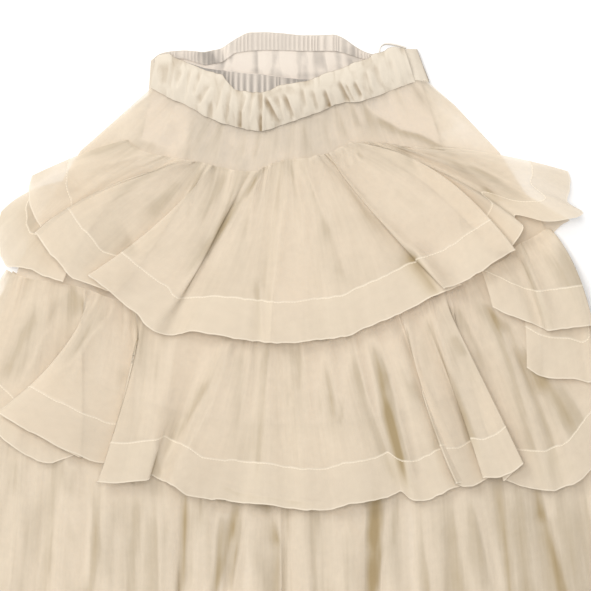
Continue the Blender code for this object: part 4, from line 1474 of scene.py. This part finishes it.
@dataclass
class Stitching:
    """Rows of stitches, in metres."""

    tree: StitchTree
    thread: bpy.types.Material
    pitch: float = 0.0036
    length: float = 0.0026
    radius: float = 0.00032

    def row(self, name: str, path: np.ndarray) -> bpy.types.Object:
        """Makes one row of stitches.

        Args:
            name: The row's.
            path: Its points, as x, down and height.

        Returns:
            The new object.
        """
        route = bpy.data.meshes.new(name)
        edges = [(i, i + 1) for i in range(len(path) - 1)]
        route.from_pydata(to_world(path), edges, [])
        item = bpy.data.objects.new(name, route)
        bpy.context.scene.collection.objects.link(item)
        modifier = item.modifiers.new("stitches", "NODES")
        modifier.node_group = self.tree.tree
        sizes = {"Pitch": self.pitch, "Stitch Length": self.length, "Thread Radius": self.radius}
        for key, value in {**sizes, "Thread": self.thread}.items():
            modifier[self.tree.identifier(key)] = value
        graph = bpy.context.evaluated_depsgraph_get()
        made = bpy.data.meshes.new_from_object(item.evaluated_get(graph))
        item.modifiers.remove(modifier)
        item.data = made
        made.name = name
        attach(item, ROOT)
        LOG.info("%s: %d faces", name, len(made.polygons))
        return item


def doubled_back(table: np.ndarray, height: float = 3.0, spread: float = 0.3) -> np.ndarray:
    """Makes two of each fold line at which the hem doubles back: one over the other where the ruffle really
    doubles back, and side by side nearer the seam, where it doesn't yet.

    Args:
        table: Fold lines of three points each.
        height: Of the round bend.
        spread: How far towards the next line, nearer the seam.

    Returns:
        The longer table.
    """
    found = [table[0]]
    for before, line, after in zip(table, table[1:], table[2:]):
        along = line[-1, :2] - line[0, :2]
        turns = np.cross((line - before)[:, :2], along) * np.cross((after - line)[:, :2], along) < 0
        if not turns[-1]:
            found.append(line)
            continue
        arriving, leaving = line[-1, 2] - before[-1, 2], after[-1, 2] - line[-1, 2]
        first, second = between(line, before, spread), between(line, after, spread)
        first[turns] = second[turns] = line[turns]
        if abs(leaving) > abs(arriving):
            second[turns, 2] += math.copysign(height, leaving)
        else:
            first[turns, 2] -= math.copysign(height, arriving)
        found += [first, second]
    return np.maximum(np.array(found + [table[-1]]), [-np.inf, -np.inf, 0])


@dataclass
class FrontRuffle:
    """A gathered ruffle of the front, folded over itself as it lies."""

    name: str
    folds: Sequence[Fold]
    cut: Cut
    rests_on: Sequence[str]
    steps: int = 6
    rows: int = 84
    gather: Ripple = Ripple(pitch=5.5, length=90, shade=0.38, lines=0.2)
    wave: Ripple = Ripple(pitch=11, length=160, shade=0.14, lines=0.14)
    swell: Ripple = Ripple(pitch=28.6, length=220, shade=0.22, lines=0.16)
    gather_height: float = 1.7
    gather_fade: tuple[float, float] = (6, 75)
    wave_height: float = 1.5
    wave_fade: tuple[float, float] = (0, 40)
    swell_share: float = 1.4
    wander: float = 0.9
    wander_pitches: tuple[float, float] = (8, 22)
    contrast: float = 1.3
    seam_shade: float = 0.3
    seam_reach: float = 3.5
    creases: Sequence[Crease] = ()
    seed: int = 1

    def grid(self) -> np.ndarray:
        """Works out the ruffle's form through its fold lines, with a hem edge that wanders.

        Returns:
            The form as x, down and lift.
        """
        table = doubled_back(np.array(self.folds, float).reshape(len(self.folds), 3, 3))
        share = np.linspace(0, 1, self.rows + 1)[None, :, None]
        lines = curved(table[:, None, 0], table[:, None, 1], table[:, None, 2], share)
        grid = smooth_through(lines, self.steps)
        fall = grid[:, -1, :2] - grid[:, 0, :2]
        fall = fall / np.linalg.norm(fall, axis=1, keepdims=True)
        kinds = [(pitch, self.seed + 3) for pitch in self.wander_pitches]
        wander = self.wander * wobble(Surface(grid).across(-1), kinds)
        grid[..., :2] += fall[:, None] * (wander[:, None] * share[..., 0] ** 2)[..., None]
        return grid

    def build(self, bed: Bed, tailor: Tailor, stitching: Stitching) -> None:
        """Lays the ruffle and dresses it.

        Args:
            bed: What it lies on.
            tailor: Makes its cloth.
            stitching: Makes its stitches.
        """
        surface = bed.lay(self.grid(), bed.loft)
        down = surface.from_seam()
        gathers = self.gather_height * (1 - smooth_step(*self.gather_fade, down))
        surface.ripple(self.gather, self.seed, gathers)
        waves = self.wave_height * smooth_step(*self.wave_fade, down)
        surface.ripple(self.wave, self.seed + 1, waves)
        surface.ripple(self.swell, self.seed + 2, self.swell_share * waves)
        surface.crease(self.creases)
        seam = self.seam_shade * np.exp(-((down / self.seam_reach) ** 2))
        surface.shade = surface.shade * self.contrast + seam
        tulle = tailor.finishes.tulle
        tailor.piece(self.name, surface, tulle)
        stitching.row(f"{self.name}_hem_stitches", surface.level_path(HEM_WIDTH - STITCH_INSET))


@dataclass
class BackRuffle:
    """A ruffle of the back, spread on the surface under the rest."""

    name: str
    seam: Section
    hem: Section
    waves: int
    cut: Cut
    wave_lift: float = 2.0
    wave_start: float = 5 / 12
    trough: float = 0.2
    scallop: float = 5.0
    ripple_pitch: float = 9.0
    ripple_length: float = 120.0
    ripple_height: float = 1.2
    lift_shade: float = 0.3
    columns_a_wave: int = 12
    rows: int = 30
    creases: Sequence[Crease] = ()
    seed: int = 21

    def grid(self) -> np.ndarray:
        """Works out the ruffle's form, with flat troughs so that it rests on them.

        Returns:
            The form as x, down and lift.
        """
        columns = self.waves * self.columns_a_wave
        across = np.arange(columns + 1) / columns
        crest = 0.5 + 0.5 * np.sin(2 * math.pi * (across * self.waves - self.wave_start))
        crest = smooth_step(self.trough, 1.0, crest)
        seam, hem = np.stack(self.seam.point(across), -1), np.stack(self.hem.point(across), -1)
        fall = np.linspace(0, 1, self.rows + 1)
        plan = between(seam[:, None], hem[:, None], fall[None, :, None])
        wave = crest[:, None] * fall[None]
        plan[..., 1] -= self.scallop * wave
        return np.concatenate([plan, (self.wave_lift * wave)[..., None]], axis=-1)

    def build(self, bed: Bed, tailor: Tailor, stitching: Stitching) -> None:
        """Lays the ruffle and dresses it.

        Args:
            bed: What it lies on.
            tailor: Makes its cloth.
            stitching: Makes its stitches.
        """
        grid = self.grid()
        across = np.broadcast_to(Surface(grid).across(0)[:, None], grid.shape[:2])
        streaks = Streaks(self.ripple_pitch, self.ripple_length, self.seed)
        grid[..., 2] += np.maximum(streaks.at(across, Surface(grid).from_seam()), 0) * self.ripple_height
        surface = bed.lay(grid)
        surface.shade += self.lift_shade * (0.5 - grid[..., 2] / (self.wave_lift + self.ripple_height))
        surface.crease(self.creases)
        tailor.piece(self.name, surface, tailor.finishes.tulle)
        stitching.row(f"{self.name}_hem_stitches", surface.level_path(HEM_WIDTH - STITCH_INSET))


@dataclass
class Panel:
    """A plain panel through its sections, gathered at its top edge."""

    name: str
    sections: Sequence[Section]
    cut: Cut
    top_edge: Optional[Callable[[np.ndarray], np.ndarray]] = None
    columns: int = 220
    steps: int = 26
    gathers: int = 0
    gather_lift: float = 0.0
    gather_fade: float = 0.5
    pucker_pitch: float = 7.0
    pucker_length: float = 140.0
    pucker_height: float = 0.8
    pucker_reach: float = 120.0
    pucker_rest: float = 0.25
    pucker_shade: float = 0.8
    wrinkle: Ripple = Ripple(pitch=11, length=14.3, shade=0.22, lines=0.12)
    wrinkle_height: float = 0.4
    sheer: bool = True
    creases: Sequence[Crease] = ()
    seed: int = 41

    def grid(self) -> np.ndarray:
        """Works out the panel's form.

        Returns:
            The form as x, down and lift.
        """
        across = np.arange(self.columns + 1) / self.columns
        lines = np.array([np.stack([*section.point(across), 0 * across], -1) for section in self.sections])
        if self.top_edge is not None:
            lines[0, :, 1] = self.top_edge(lines[0, :, 0])
        rows = len(lines)
        fall = np.arange(rows)[:, None] / (rows - 1)
        wave = 0.5 - 0.5 * np.cos(2 * math.pi * self.gathers * across)
        lines[..., 2] = self.gather_lift * wave * (1 - self.gather_fade * fall)
        places = np.arange((rows - 1) * self.steps + 1) / self.steps
        before = np.minimum(places.astype(int), rows - 2)
        return between(lines[before], lines[before + 1], (places - before)[:, None, None]).transpose(1, 0, 2)

    def build(self, bed: Bed, tailor: Tailor) -> None:
        """Lays the panel and dresses it.

        Args:
            bed: What it lies on.
            tailor: Makes its cloth.
        """
        grid = self.grid()
        plain = Surface(grid)
        across = np.broadcast_to(plain.across(0)[:, None], grid.shape[:2])
        streaks = Streaks(self.pucker_pitch, self.pucker_length, self.seed)
        puckers = 0.5 + 0.5 * streaks.at(across, plain.from_seam())
        fade = between(self.pucker_rest, 1, 1 - smooth_step(0, self.pucker_reach, plain.from_seam()))
        grid[..., 2] += puckers * self.pucker_height * fade
        surface = bed.lay(grid)
        surface.shade += self.pucker_shade * (0.5 - puckers) * fade
        if not self.sheer:
            surface.ripple(self.wrinkle, self.seed + 1, self.wrinkle_height)
        surface.crease(self.creases)
        finishes = tailor.finishes
        material, slot = (finishes.yoke, Slot.TULLE) if self.sheer else (finishes.lining, Slot.LINING)
        tailor.piece(self.name, surface, material)


@dataclass
class Waistband:
    """The elastic waistband: a back band flat on the surface, a front band that stands as a low ridge, and
    the gathered casings inside both.
    """

    end_width: float = 36.0
    end_drop: float = 5.0
    low_lead: float = 3.0
    back_sections: int = 30
    back_steps: int = 8
    back_rows: int = 16
    back_ripple: tuple[float, float, int] = (4.5, 40.0, 61)  # pitch, length and seed
    ripple_height: float = 0.9

    steps_a_gather: int = 8
    gather_uneven: float = 4.2
    back_gathers: int = 56
    back_uneven: tuple[tuple[float, int], ...] = ((3, 71), (9, 72))
    back_crests: tuple[tuple[float, int], ...] = ((4, 75),)
    back_ends: tuple[float, float] = (4, 16)
    back_below: float = 1.0
    back_shade: float = 0.55
    back_even: float = 0.9  # the crest that the shade leaves as it is
    low_crest: float = 0.65
    back_edge: float = 0.5
    back_puff: float = 0.6
    gather_heights: tuple[float, float] = (0.4, 1.6)  # of the troughs and the crests, in the casing's puff
    front_gathers: int = 44
    front_uneven: tuple[tuple[float, int], ...] = ((3, 73), (9, 74))
    front_ends: tuple[float, float] = (14, 8)
    front_shade: float = 0.8
    front_even: float = 1.1
    front_fade: float = 0.3
    # painted shade over the whole front casing, on top of that in the gathers' troughs
    front_dark: float = 0.1
    front_edge: float = 0.2
    front_puff: float = 0.9
    below_ridge: float = 1.5
    under_ridge: float = 2.6
    casing_rows: int = 12

    front_columns: int = 360
    front_rows: int = 28
    corner_rise: float = 5.0
    top_inset: float = 6.0
    end_lap: float = 1.5
    low_lift: float = 0.2
    middle_share: float = 0.72
    middle_lift: float = 1.0
    roll: float = 1.3
    roll_turn: float = math.pi * 0.9
    roll_rows: int = 5
    pull_rest: float = 0.45
    top_pull: tuple[float, float] = (3, 16)
    low_pull: tuple[float, float] = (26, 44)
    front_ripples: tuple[tuple[Ripple, int, float], ...] = (  # kind, seed and height
        (Ripple(pitch=9.9, length=30, shade=0.22, lines=0.16), 81, 1.35),
        (Ripple(pitch=4.5, length=18, shade=0.14, lines=0.08), 83, 0.63),
        (Ripple(pitch=11.7, length=14, shade=0.08, lines=0.06), 85, 0.45),
    )
    contrast: float = 1.35
    low_light: float = 0.26
    low_reach: tuple[float, float] = (14, 36)

    ribbon_steps: int = 6
    ribbon_lean: tuple[float, float, float] = (0.3, -0.9, 0.7)
    ribbon_wall: float = 0.9

    def back_band(self, bed: Bed, tailor: Tailor) -> None:
        """Makes the back band, with its right end turned up and over to the side seam.

        Args:
            bed: What it lies on.
            tailor: Makes its cloth.
        """
        lines = []
        for across in np.arange(self.back_sections + 1) / self.back_sections:
            top_x = between(WAIST[0].x, RIGHT_END[0][0], across)
            low_x = between(WAIST[0].x - self.low_lead, RIGHT_END[1][0], across)
            top_down = float(waist_at(top_x, "back_top"))
            width = between(BAND_WIDTH, self.end_width, across**4)
            lines.append([(top_x, top_down, 0), (low_x, top_down + width, 0)])
        for ((top_x, top_down), (low_x, low_down)), past, top_height, low_height in BAND_TURN:
            top = (top_x + past, top_down, top_height)
            lines.append([top, (low_x + past, low_down + self.end_drop, low_height)])
        grid = smooth_through(np.array(lines, float), self.back_steps)
        share = np.linspace(0, 1, self.back_rows + 1)[None, :, None]
        grid = between(grid[:, :1], grid[:, 1:], share)
        across = np.broadcast_to(Surface(grid).across(0)[:, None], grid.shape[:2])
        ripples = Streaks(*self.back_ripple).at(across, Surface(grid).from_seam())
        grid[..., 2] = np.maximum(grid[..., 2], 0) + np.maximum(ripples, 0) * self.ripple_height
        surface = Surface(grid + [0, 0, WALL / 2])
        bed.cover(surface.points[: self.back_sections * self.back_steps])
        band, cut = tailor.finishes.band, Cut(0.38, 0.045)
        tailor.piece("waistband_back", surface, band)

    def gathered(self, count: int, uneven: Sequence[tuple[float, int]]) -> tuple[np.ndarray, np.ndarray]:
        """Spaces a casing's gathers.

        Args:
            count: How many there are.
            uneven: Pitch, in hundredths of the width, and seed of each unevenness in their spacing.

        Returns:
            Shares of the casing's width, and how high the gathers are there, from 0 to 1.
        """
        columns = count * self.steps_a_gather
        across = np.arange(columns + 1) / columns
        turn = 2 * math.pi * count * across + self.gather_uneven * wobble(across * 100, uneven)
        return across, 0.5 - 0.5 * np.cos(turn)

    def back_casing(self, bed: Bed, tailor: Tailor) -> None:
        """Makes the back casing, with its top edge rolled down to the band.

        Args:
            bed: What it lies on.
            tailor: Makes its cloth.
        """
        across, crest = self.gathered(self.back_gathers, self.back_uneven)
        crest = crest * between(self.low_crest, 1, wobble(across * 100, self.back_crests))
        x = between(WAIST[0].x + self.back_ends[0], RIGHT_END[0][0] - self.back_ends[1], across)
        top, low = waist_at(x, "back_top") + self.back_below, waist_at(x, "back_low")
        fall = np.linspace(0, 1, self.casing_rows + 1)
        puff = 4 * fall * (1 - fall)
        grid = np.zeros((len(x), len(fall), 3))
        grid[..., 0] = x[:, None]
        grid[..., 1] = between(top[:, None], low[:, None], fall[None])
        puffed = self.back_edge + self.back_puff * puff[None]
        grid[..., 2] = puffed * between(*self.gather_heights, crest[:, None])
        grid[:, 0, 2] = 0
        surface = bed.lay(grid)
        surface.shade += self.back_shade * (self.back_even - crest[:, None])
        surface.crease(CASING_PAINTED_SHADE)
        lining, cut = tailor.finishes.lining, Cut(0.36, 0.019)
        tailor.piece("casing_back", surface, lining)

    def front_casing(self, bed: Bed, tailor: Tailor) -> None:
        """Makes the front casing, from just under the ridge down to the top of the front lining.

        Args:
            bed: What it lies on.
            tailor: Makes its cloth.
        """
        across, crest = self.gathered(self.front_gathers, self.front_uneven)
        x = between(WAIST[0].x + self.front_ends[0], SIDE_SEAM[0][0] - self.front_ends[1], across)
        top, low = waist_at(x, "ridge") + self.below_ridge, waist_at(x, "front_low")
        height = waist_at(x, "ridge_lift") - self.under_ridge
        fall = np.linspace(0, 1, self.casing_rows + 3)
        puff = 4 * fall * (1 - fall)
        grid = np.zeros((len(x), len(fall), 3))
        grid[..., 0] = x[:, None]
        grid[..., 1] = between(top[:, None], low[:, None], fall[None])
        puffed = self.front_edge + self.front_puff * puff[None]
        grid[..., 2] = height[:, None] * (1 - fall[None]) + puffed * crest[:, None]
        surface = bed.lay(grid, covers=False)
        troughs = self.front_even - crest[:, None]
        # painted shade in the troughs of the gathers, fading downwards, and over the whole casing
        surface.shade += self.front_shade * troughs * (1 - self.front_fade * fall[None]) + self.front_dark
        lining, cut = tailor.finishes.lining, Cut(0.33, 0.020)
        tailor.piece("casing_front", surface, lining)

    def front_band(self, bed: Bed, tailor: Tailor) -> None:
        """Makes the front band, from its rolled ridge down to the yoke, ending at the right side seam.

        Args:
            bed: What it lies on.
            tailor: Makes its cloth.
        """
        across = np.arange(self.front_columns + 1) / self.front_columns
        top_x = between(WAIST[0].x + self.top_inset, SIDE_SEAM[0][0] + self.end_lap, across)
        low_x = between(WAIST[0].x, SIDE_SEAM[1][0] + self.end_lap, across)
        ridge = waist_at(top_x, "ridge_lift")
        top = np.stack([top_x, waist_at(top_x, "ridge"), ridge], -1)
        rise = self.corner_rise * smooth_step(WAIST[-1].x, SIDE_SEAM[1][0], low_x)
        low = np.stack([low_x, waist_at(low_x, "band_low") - rise, self.low_lift + 0 * low_x], -1)
        middle = between(top, low, 0.5)
        middle[:, 2] = self.middle_share * ridge + self.middle_lift
        share = np.linspace(0, 1, self.front_rows + 1)[None, :, None]
        grid = curved(top[:, None], middle[:, None], low[:, None], share)
        turn = np.linspace(self.roll_turn, 0, self.roll_rows + 1)[None, :-1]
        roll = np.repeat(grid[:, :1], self.roll_rows, axis=1)
        roll[..., 1] -= self.roll * np.sin(turn)
        roll[..., 2] -= self.roll * (1 - np.cos(turn))
        surface = bed.lay(np.concatenate([roll, grid], axis=1), covers=False)
        down = surface.from_seam()
        pull = np.maximum(1 - smooth_step(*self.top_pull, down), smooth_step(*self.low_pull, down))
        for kind, seed, height in self.front_ripples:
            surface.ripple(kind, seed, height * between(self.pull_rest, 1, pull))
        surface.crease(BAND_CREASES)
        # painted light that lifts the band's lower part
        surface.shade = surface.shade * self.contrast - self.low_light * smooth_step(*self.low_reach, down)
        band, cut = tailor.finishes.band, Cut(0.36, 0.050)
        tailor.piece("waistband_front", surface, band)

    def hanger_loop(self, tailor: Tailor) -> None:
        """Makes a narrow ribbon loop that stands on its edge.

        Args:
            tailor: Makes its mesh.
        """
        route = smooth_through(np.array(LOOP_ROUTE, float), self.ribbon_steps)
        rise = np.linspace(-1.0, 1.0, 3)[None, :, None] * np.array(self.ribbon_lean)
        surface = Surface(route[:, None] + rise)
        item = bpy.data.objects.new("hanger_loop_ribbon", tailor.mesh("hanger_loop_ribbon", surface))
        bpy.context.scene.collection.objects.link(item)
        item.data.materials.append(tailor.finishes.ribbon)
        wall = item.modifiers.new("wall", "SOLIDIFY")
        wall.thickness = self.ribbon_wall * MM
        wall.offset = 0.0
        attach(item, ROOT)
        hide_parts("hanger_loop")
        LOG.info("hanger_loop: %d faces", len(item.data.polygons))


def bottom_folds() -> list[Fold]:
    """Works out the bottom tier's folds, straight down between the arcs of its seam and its hem.

    Returns:
        Its fold lines.
    """
    found = []
    for seam_x, hem_x, lift in BOTTOM_FOLDS:
        seam_down, hem_down = BOTTOM_SEAM.down_at(seam_x), BOTTOM_HEM.down_at(hem_x)
        middle = (between(seam_x, hem_x, 0.5), between(seam_down, hem_down, 0.5), BOTTOM_MIDDLE_LIFT * lift)
        found.append(Fold(seam_x, seam_down, BOTTOM_SEAM_LIFT * lift, *middle, hem_x, hem_down, lift))
    return found


BACK_RUFFLES = (
    BackRuffle(
        name="ruffle_top_back",
        seam=Section(-209, 137, 194, 149, 46),
        hem=Section(-341, 250, 345, 236, 170),
        waves=14,
        cut=Cut(0.82, 0.20, 0.85),
        creases=mirrored(TOP_CREASES),
    ),
    BackRuffle(
        name="ruffle_middle_back",
        seam=Section(-354, 300, 308, 262, 108),
        hem=Section(-424, 440, 420, 424, 178),
        waves=18,
        cut=Cut(1.00, 0.20, 0.90),
        scallop=6.0,
        creases=mirrored(MIDDLE_CREASES),
    ),
    BackRuffle(
        name="bottom_tier_back",
        seam=BOTTOM_SEAM,
        hem=Section(-438, 838, 436, 834, 40),
        waves=20,
        cut=Cut(0.95, 0.36),
        creases=mirrored(BOTTOM_CREASES),
    ),
)

BACK_PANELS = (
    Panel(
        name="base_back",
        sections=BASE,
        cut=Cut(0.82, 0.48, 0.80),
        top_edge=lambda x: waist_at(x, "back_top") + BAND_WIDTH - HIDDEN_EDGE,
        # the last one only paints light on the right edge, and makes it sheerer
        creases=mirrored(YOKE_CREASES, -20) + (Crease(178, 85, 250, 150, 14, 0, -0.6),),
    ),
    Panel(
        name="lining_back",
        sections=LINING,
        cut=Cut(0.50, 0.45, 0.85),
        top_edge=lambda x: waist_at(x, "back_low") - BACK_LINING_LAP,
        sheer=False,
        pucker_height=0.5,
        creases=INNER_CREASES,
    ),
)

FRONT_PANELS = (
    Panel(
        name="lining_front",
        sections=LINING,
        cut=Cut(0.50, 0.43, 0.88),
        top_edge=lambda x: waist_at(x, "front_low") - FRONT_LINING_LAP,
        sheer=False,
        pucker_height=0.5,
        creases=LINING_CREASES,
    ),
    Panel(
        name="base_front",
        sections=BASE,
        cut=Cut(0.82, 0.44, 0.82),
        top_edge=under_front_band,
        gathers=12,
        gather_lift=1.1,
        creases=YOKE_CREASES,
    ),
)

FRONT_RUFFLES = (
    FrontRuffle(
        name="bottom_tier_front",
        folds=bottom_folds(),
        cut=Cut(1.00, 0.36),
        rests_on=["base_front_cloth"],
        wave_height=2.2,
        contrast=1.7,
        creases=BOTTOM_CREASES,
        seed=5,
    ),
    FrontRuffle(
        name="ruffle_middle_front",
        folds=RUFFLE_MIDDLE,
        cut=Cut(1.48, 0.235, 0.85),
        rests_on=["base_front_cloth"],
        wave_height=1.9,
        contrast=1.5,
        creases=MIDDLE_CREASES,
        seed=7,
    ),
    FrontRuffle(
        name="ruffle_middle_side",
        folds=RUFFLE_MIDDLE_SIDE,
        cut=Cut(0.31, 0.135, 0.80),
        rests_on=["ruffle_middle_front_cloth"],
        steps=16,
        creases=MIDDLE_SIDE_PAINTED_SHADE,
        seed=9,
    ),
    FrontRuffle(
        name="ruffle_top_side",
        folds=RUFFLE_TOP_SIDE,
        cut=Cut(0.16, 0.12, 0.75),
        rests_on=["ruffle_middle_front_cloth"],
        steps=20,
        creases=TOP_SIDE_PAINTED_SHADE,
        seed=11,
    ),
    FrontRuffle(
        name="ruffle_top_front",
        folds=RUFFLE_TOP,
        cut=Cut(1.30, 0.22, 0.75),
        rests_on=["base_front_cloth"],
        creases=TOP_CREASES,
        seed=13,
    ),
)


@dataclass
class Studio:
    """The pale floor, the soft light and the camera over the skirt."""

    view_width: float = 0.73875
    middle: tuple[float, float] = (0.0006, 0.1114)
    cloth_level: float = 0.02
    distance: float = 5.0
    floor_half: float = 6.0
    floor_level: float = -0.0004
    lit_middle: tuple[float, float, float] = (0, 0.1, 0)
    sky_strength: float = 0.48

    def build(self) -> None:
        """Makes them all."""
        self.floor()
        self.camera()
        self.lights()
        scene = bpy.context.scene
        scene.view_settings.view_transform = "Standard"
        scene.cycles.transparent_max_bounces = 32
        scene.cycles.max_bounces = 8
        scene.cycles.diffuse_bounces = 6

    def floor(self) -> None:
        """A plain pale floor, just under the skirt."""
        half, level = self.floor_half, self.floor_level
        corners = [(x, y, level) for x, y in ((-half, -half), (half, -half), (half, half), (-half, half))]
        mesh = bpy.data.meshes.new("floor")
        mesh.from_pydata(corners, [], [(0, 1, 2, 3)])
        item = bpy.data.objects.new("floor", mesh)
        white = PlainFinish("floor_white", (0.97, 0.97, 0.97), (0.96, 0.96, 0.96), 0.9, 1)
        item.data.materials.append(white.material())
        bpy.context.scene.collection.objects.link(item)

    def camera(self) -> None:
        """A camera straight over the part of the skirt that the photograph frames."""
        data = bpy.data.cameras.new("camera")
        data.sensor_fit = "HORIZONTAL"
        data.angle = 2 * math.atan(self.view_width / 2 / self.distance)
        item = bpy.data.objects.new("camera", data)
        item.location = (*self.middle, self.cloth_level + self.distance)
        bpy.context.scene.collection.objects.link(item)
        bpy.context.scene.camera = item

    def lights(self) -> None:
        """A broad key light from the upper left, one from above, and an even sky."""
        for name, place, size, power in (
            ("key_light", (-2.6, 2.6, 4.0), 2.0, 102.0),
            ("top_light", (-0.4, 0.7, 5.4), 2.2, 168.0),
        ):
            data = bpy.data.lights.new(name, "AREA")
            data.size = size
            data.energy = power
            item = bpy.data.objects.new(name, data)
            item.location = place
            towards = Vector(self.lit_middle) - Vector(place)
            item.rotation_euler = towards.to_track_quat("-Z", "Y").to_euler()
            bpy.context.scene.collection.objects.link(item)
        world = bpy.data.worlds.new("sky")
        world.use_nodes = True
        sky = world.node_tree.nodes["Background"].inputs
        sky["Color"].default_value = (1.0, 1.0, 1.0, 1.0)
        sky["Strength"].default_value = self.sky_strength
        bpy.context.scene.world = world


def corners(box: tuple) -> list[list[float]]:
    """A box's lowest and highest corners as plain lists."""
    return [[float(value) for value in corner] for corner in box]


def main() -> None:
    """Builds the skirt's pieces in the order in which they lie on each other, and the studio around them."""
    logging.basicConfig(level=logging.INFO, format="%(message)s")
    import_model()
    Studio().build()
    finishes = Finishes.made()
    tailor = Tailor(finishes)
    stitching = Stitching(StitchTree(), finishes.thread)
    bed = Bed()
    band = Waistband()

    band.back_band(bed, tailor)
    for ruffle in BACK_RUFFLES:
        ruffle.build(bed, tailor, stitching)
    for panel in BACK_PANELS:
        panel.build(bed, tailor)
    band.back_casing(bed, tailor)
    for panel in FRONT_PANELS:
        panel.build(bed, tailor)
    for ruffle in FRONT_RUFFLES:
        ruffle.build(bed, tailor, stitching)
    band.front_casing(bed, tailor)
    band.front_band(bed, tailor)
    band.hanger_loop(tailor)


if __name__ == "__main__":
    main()
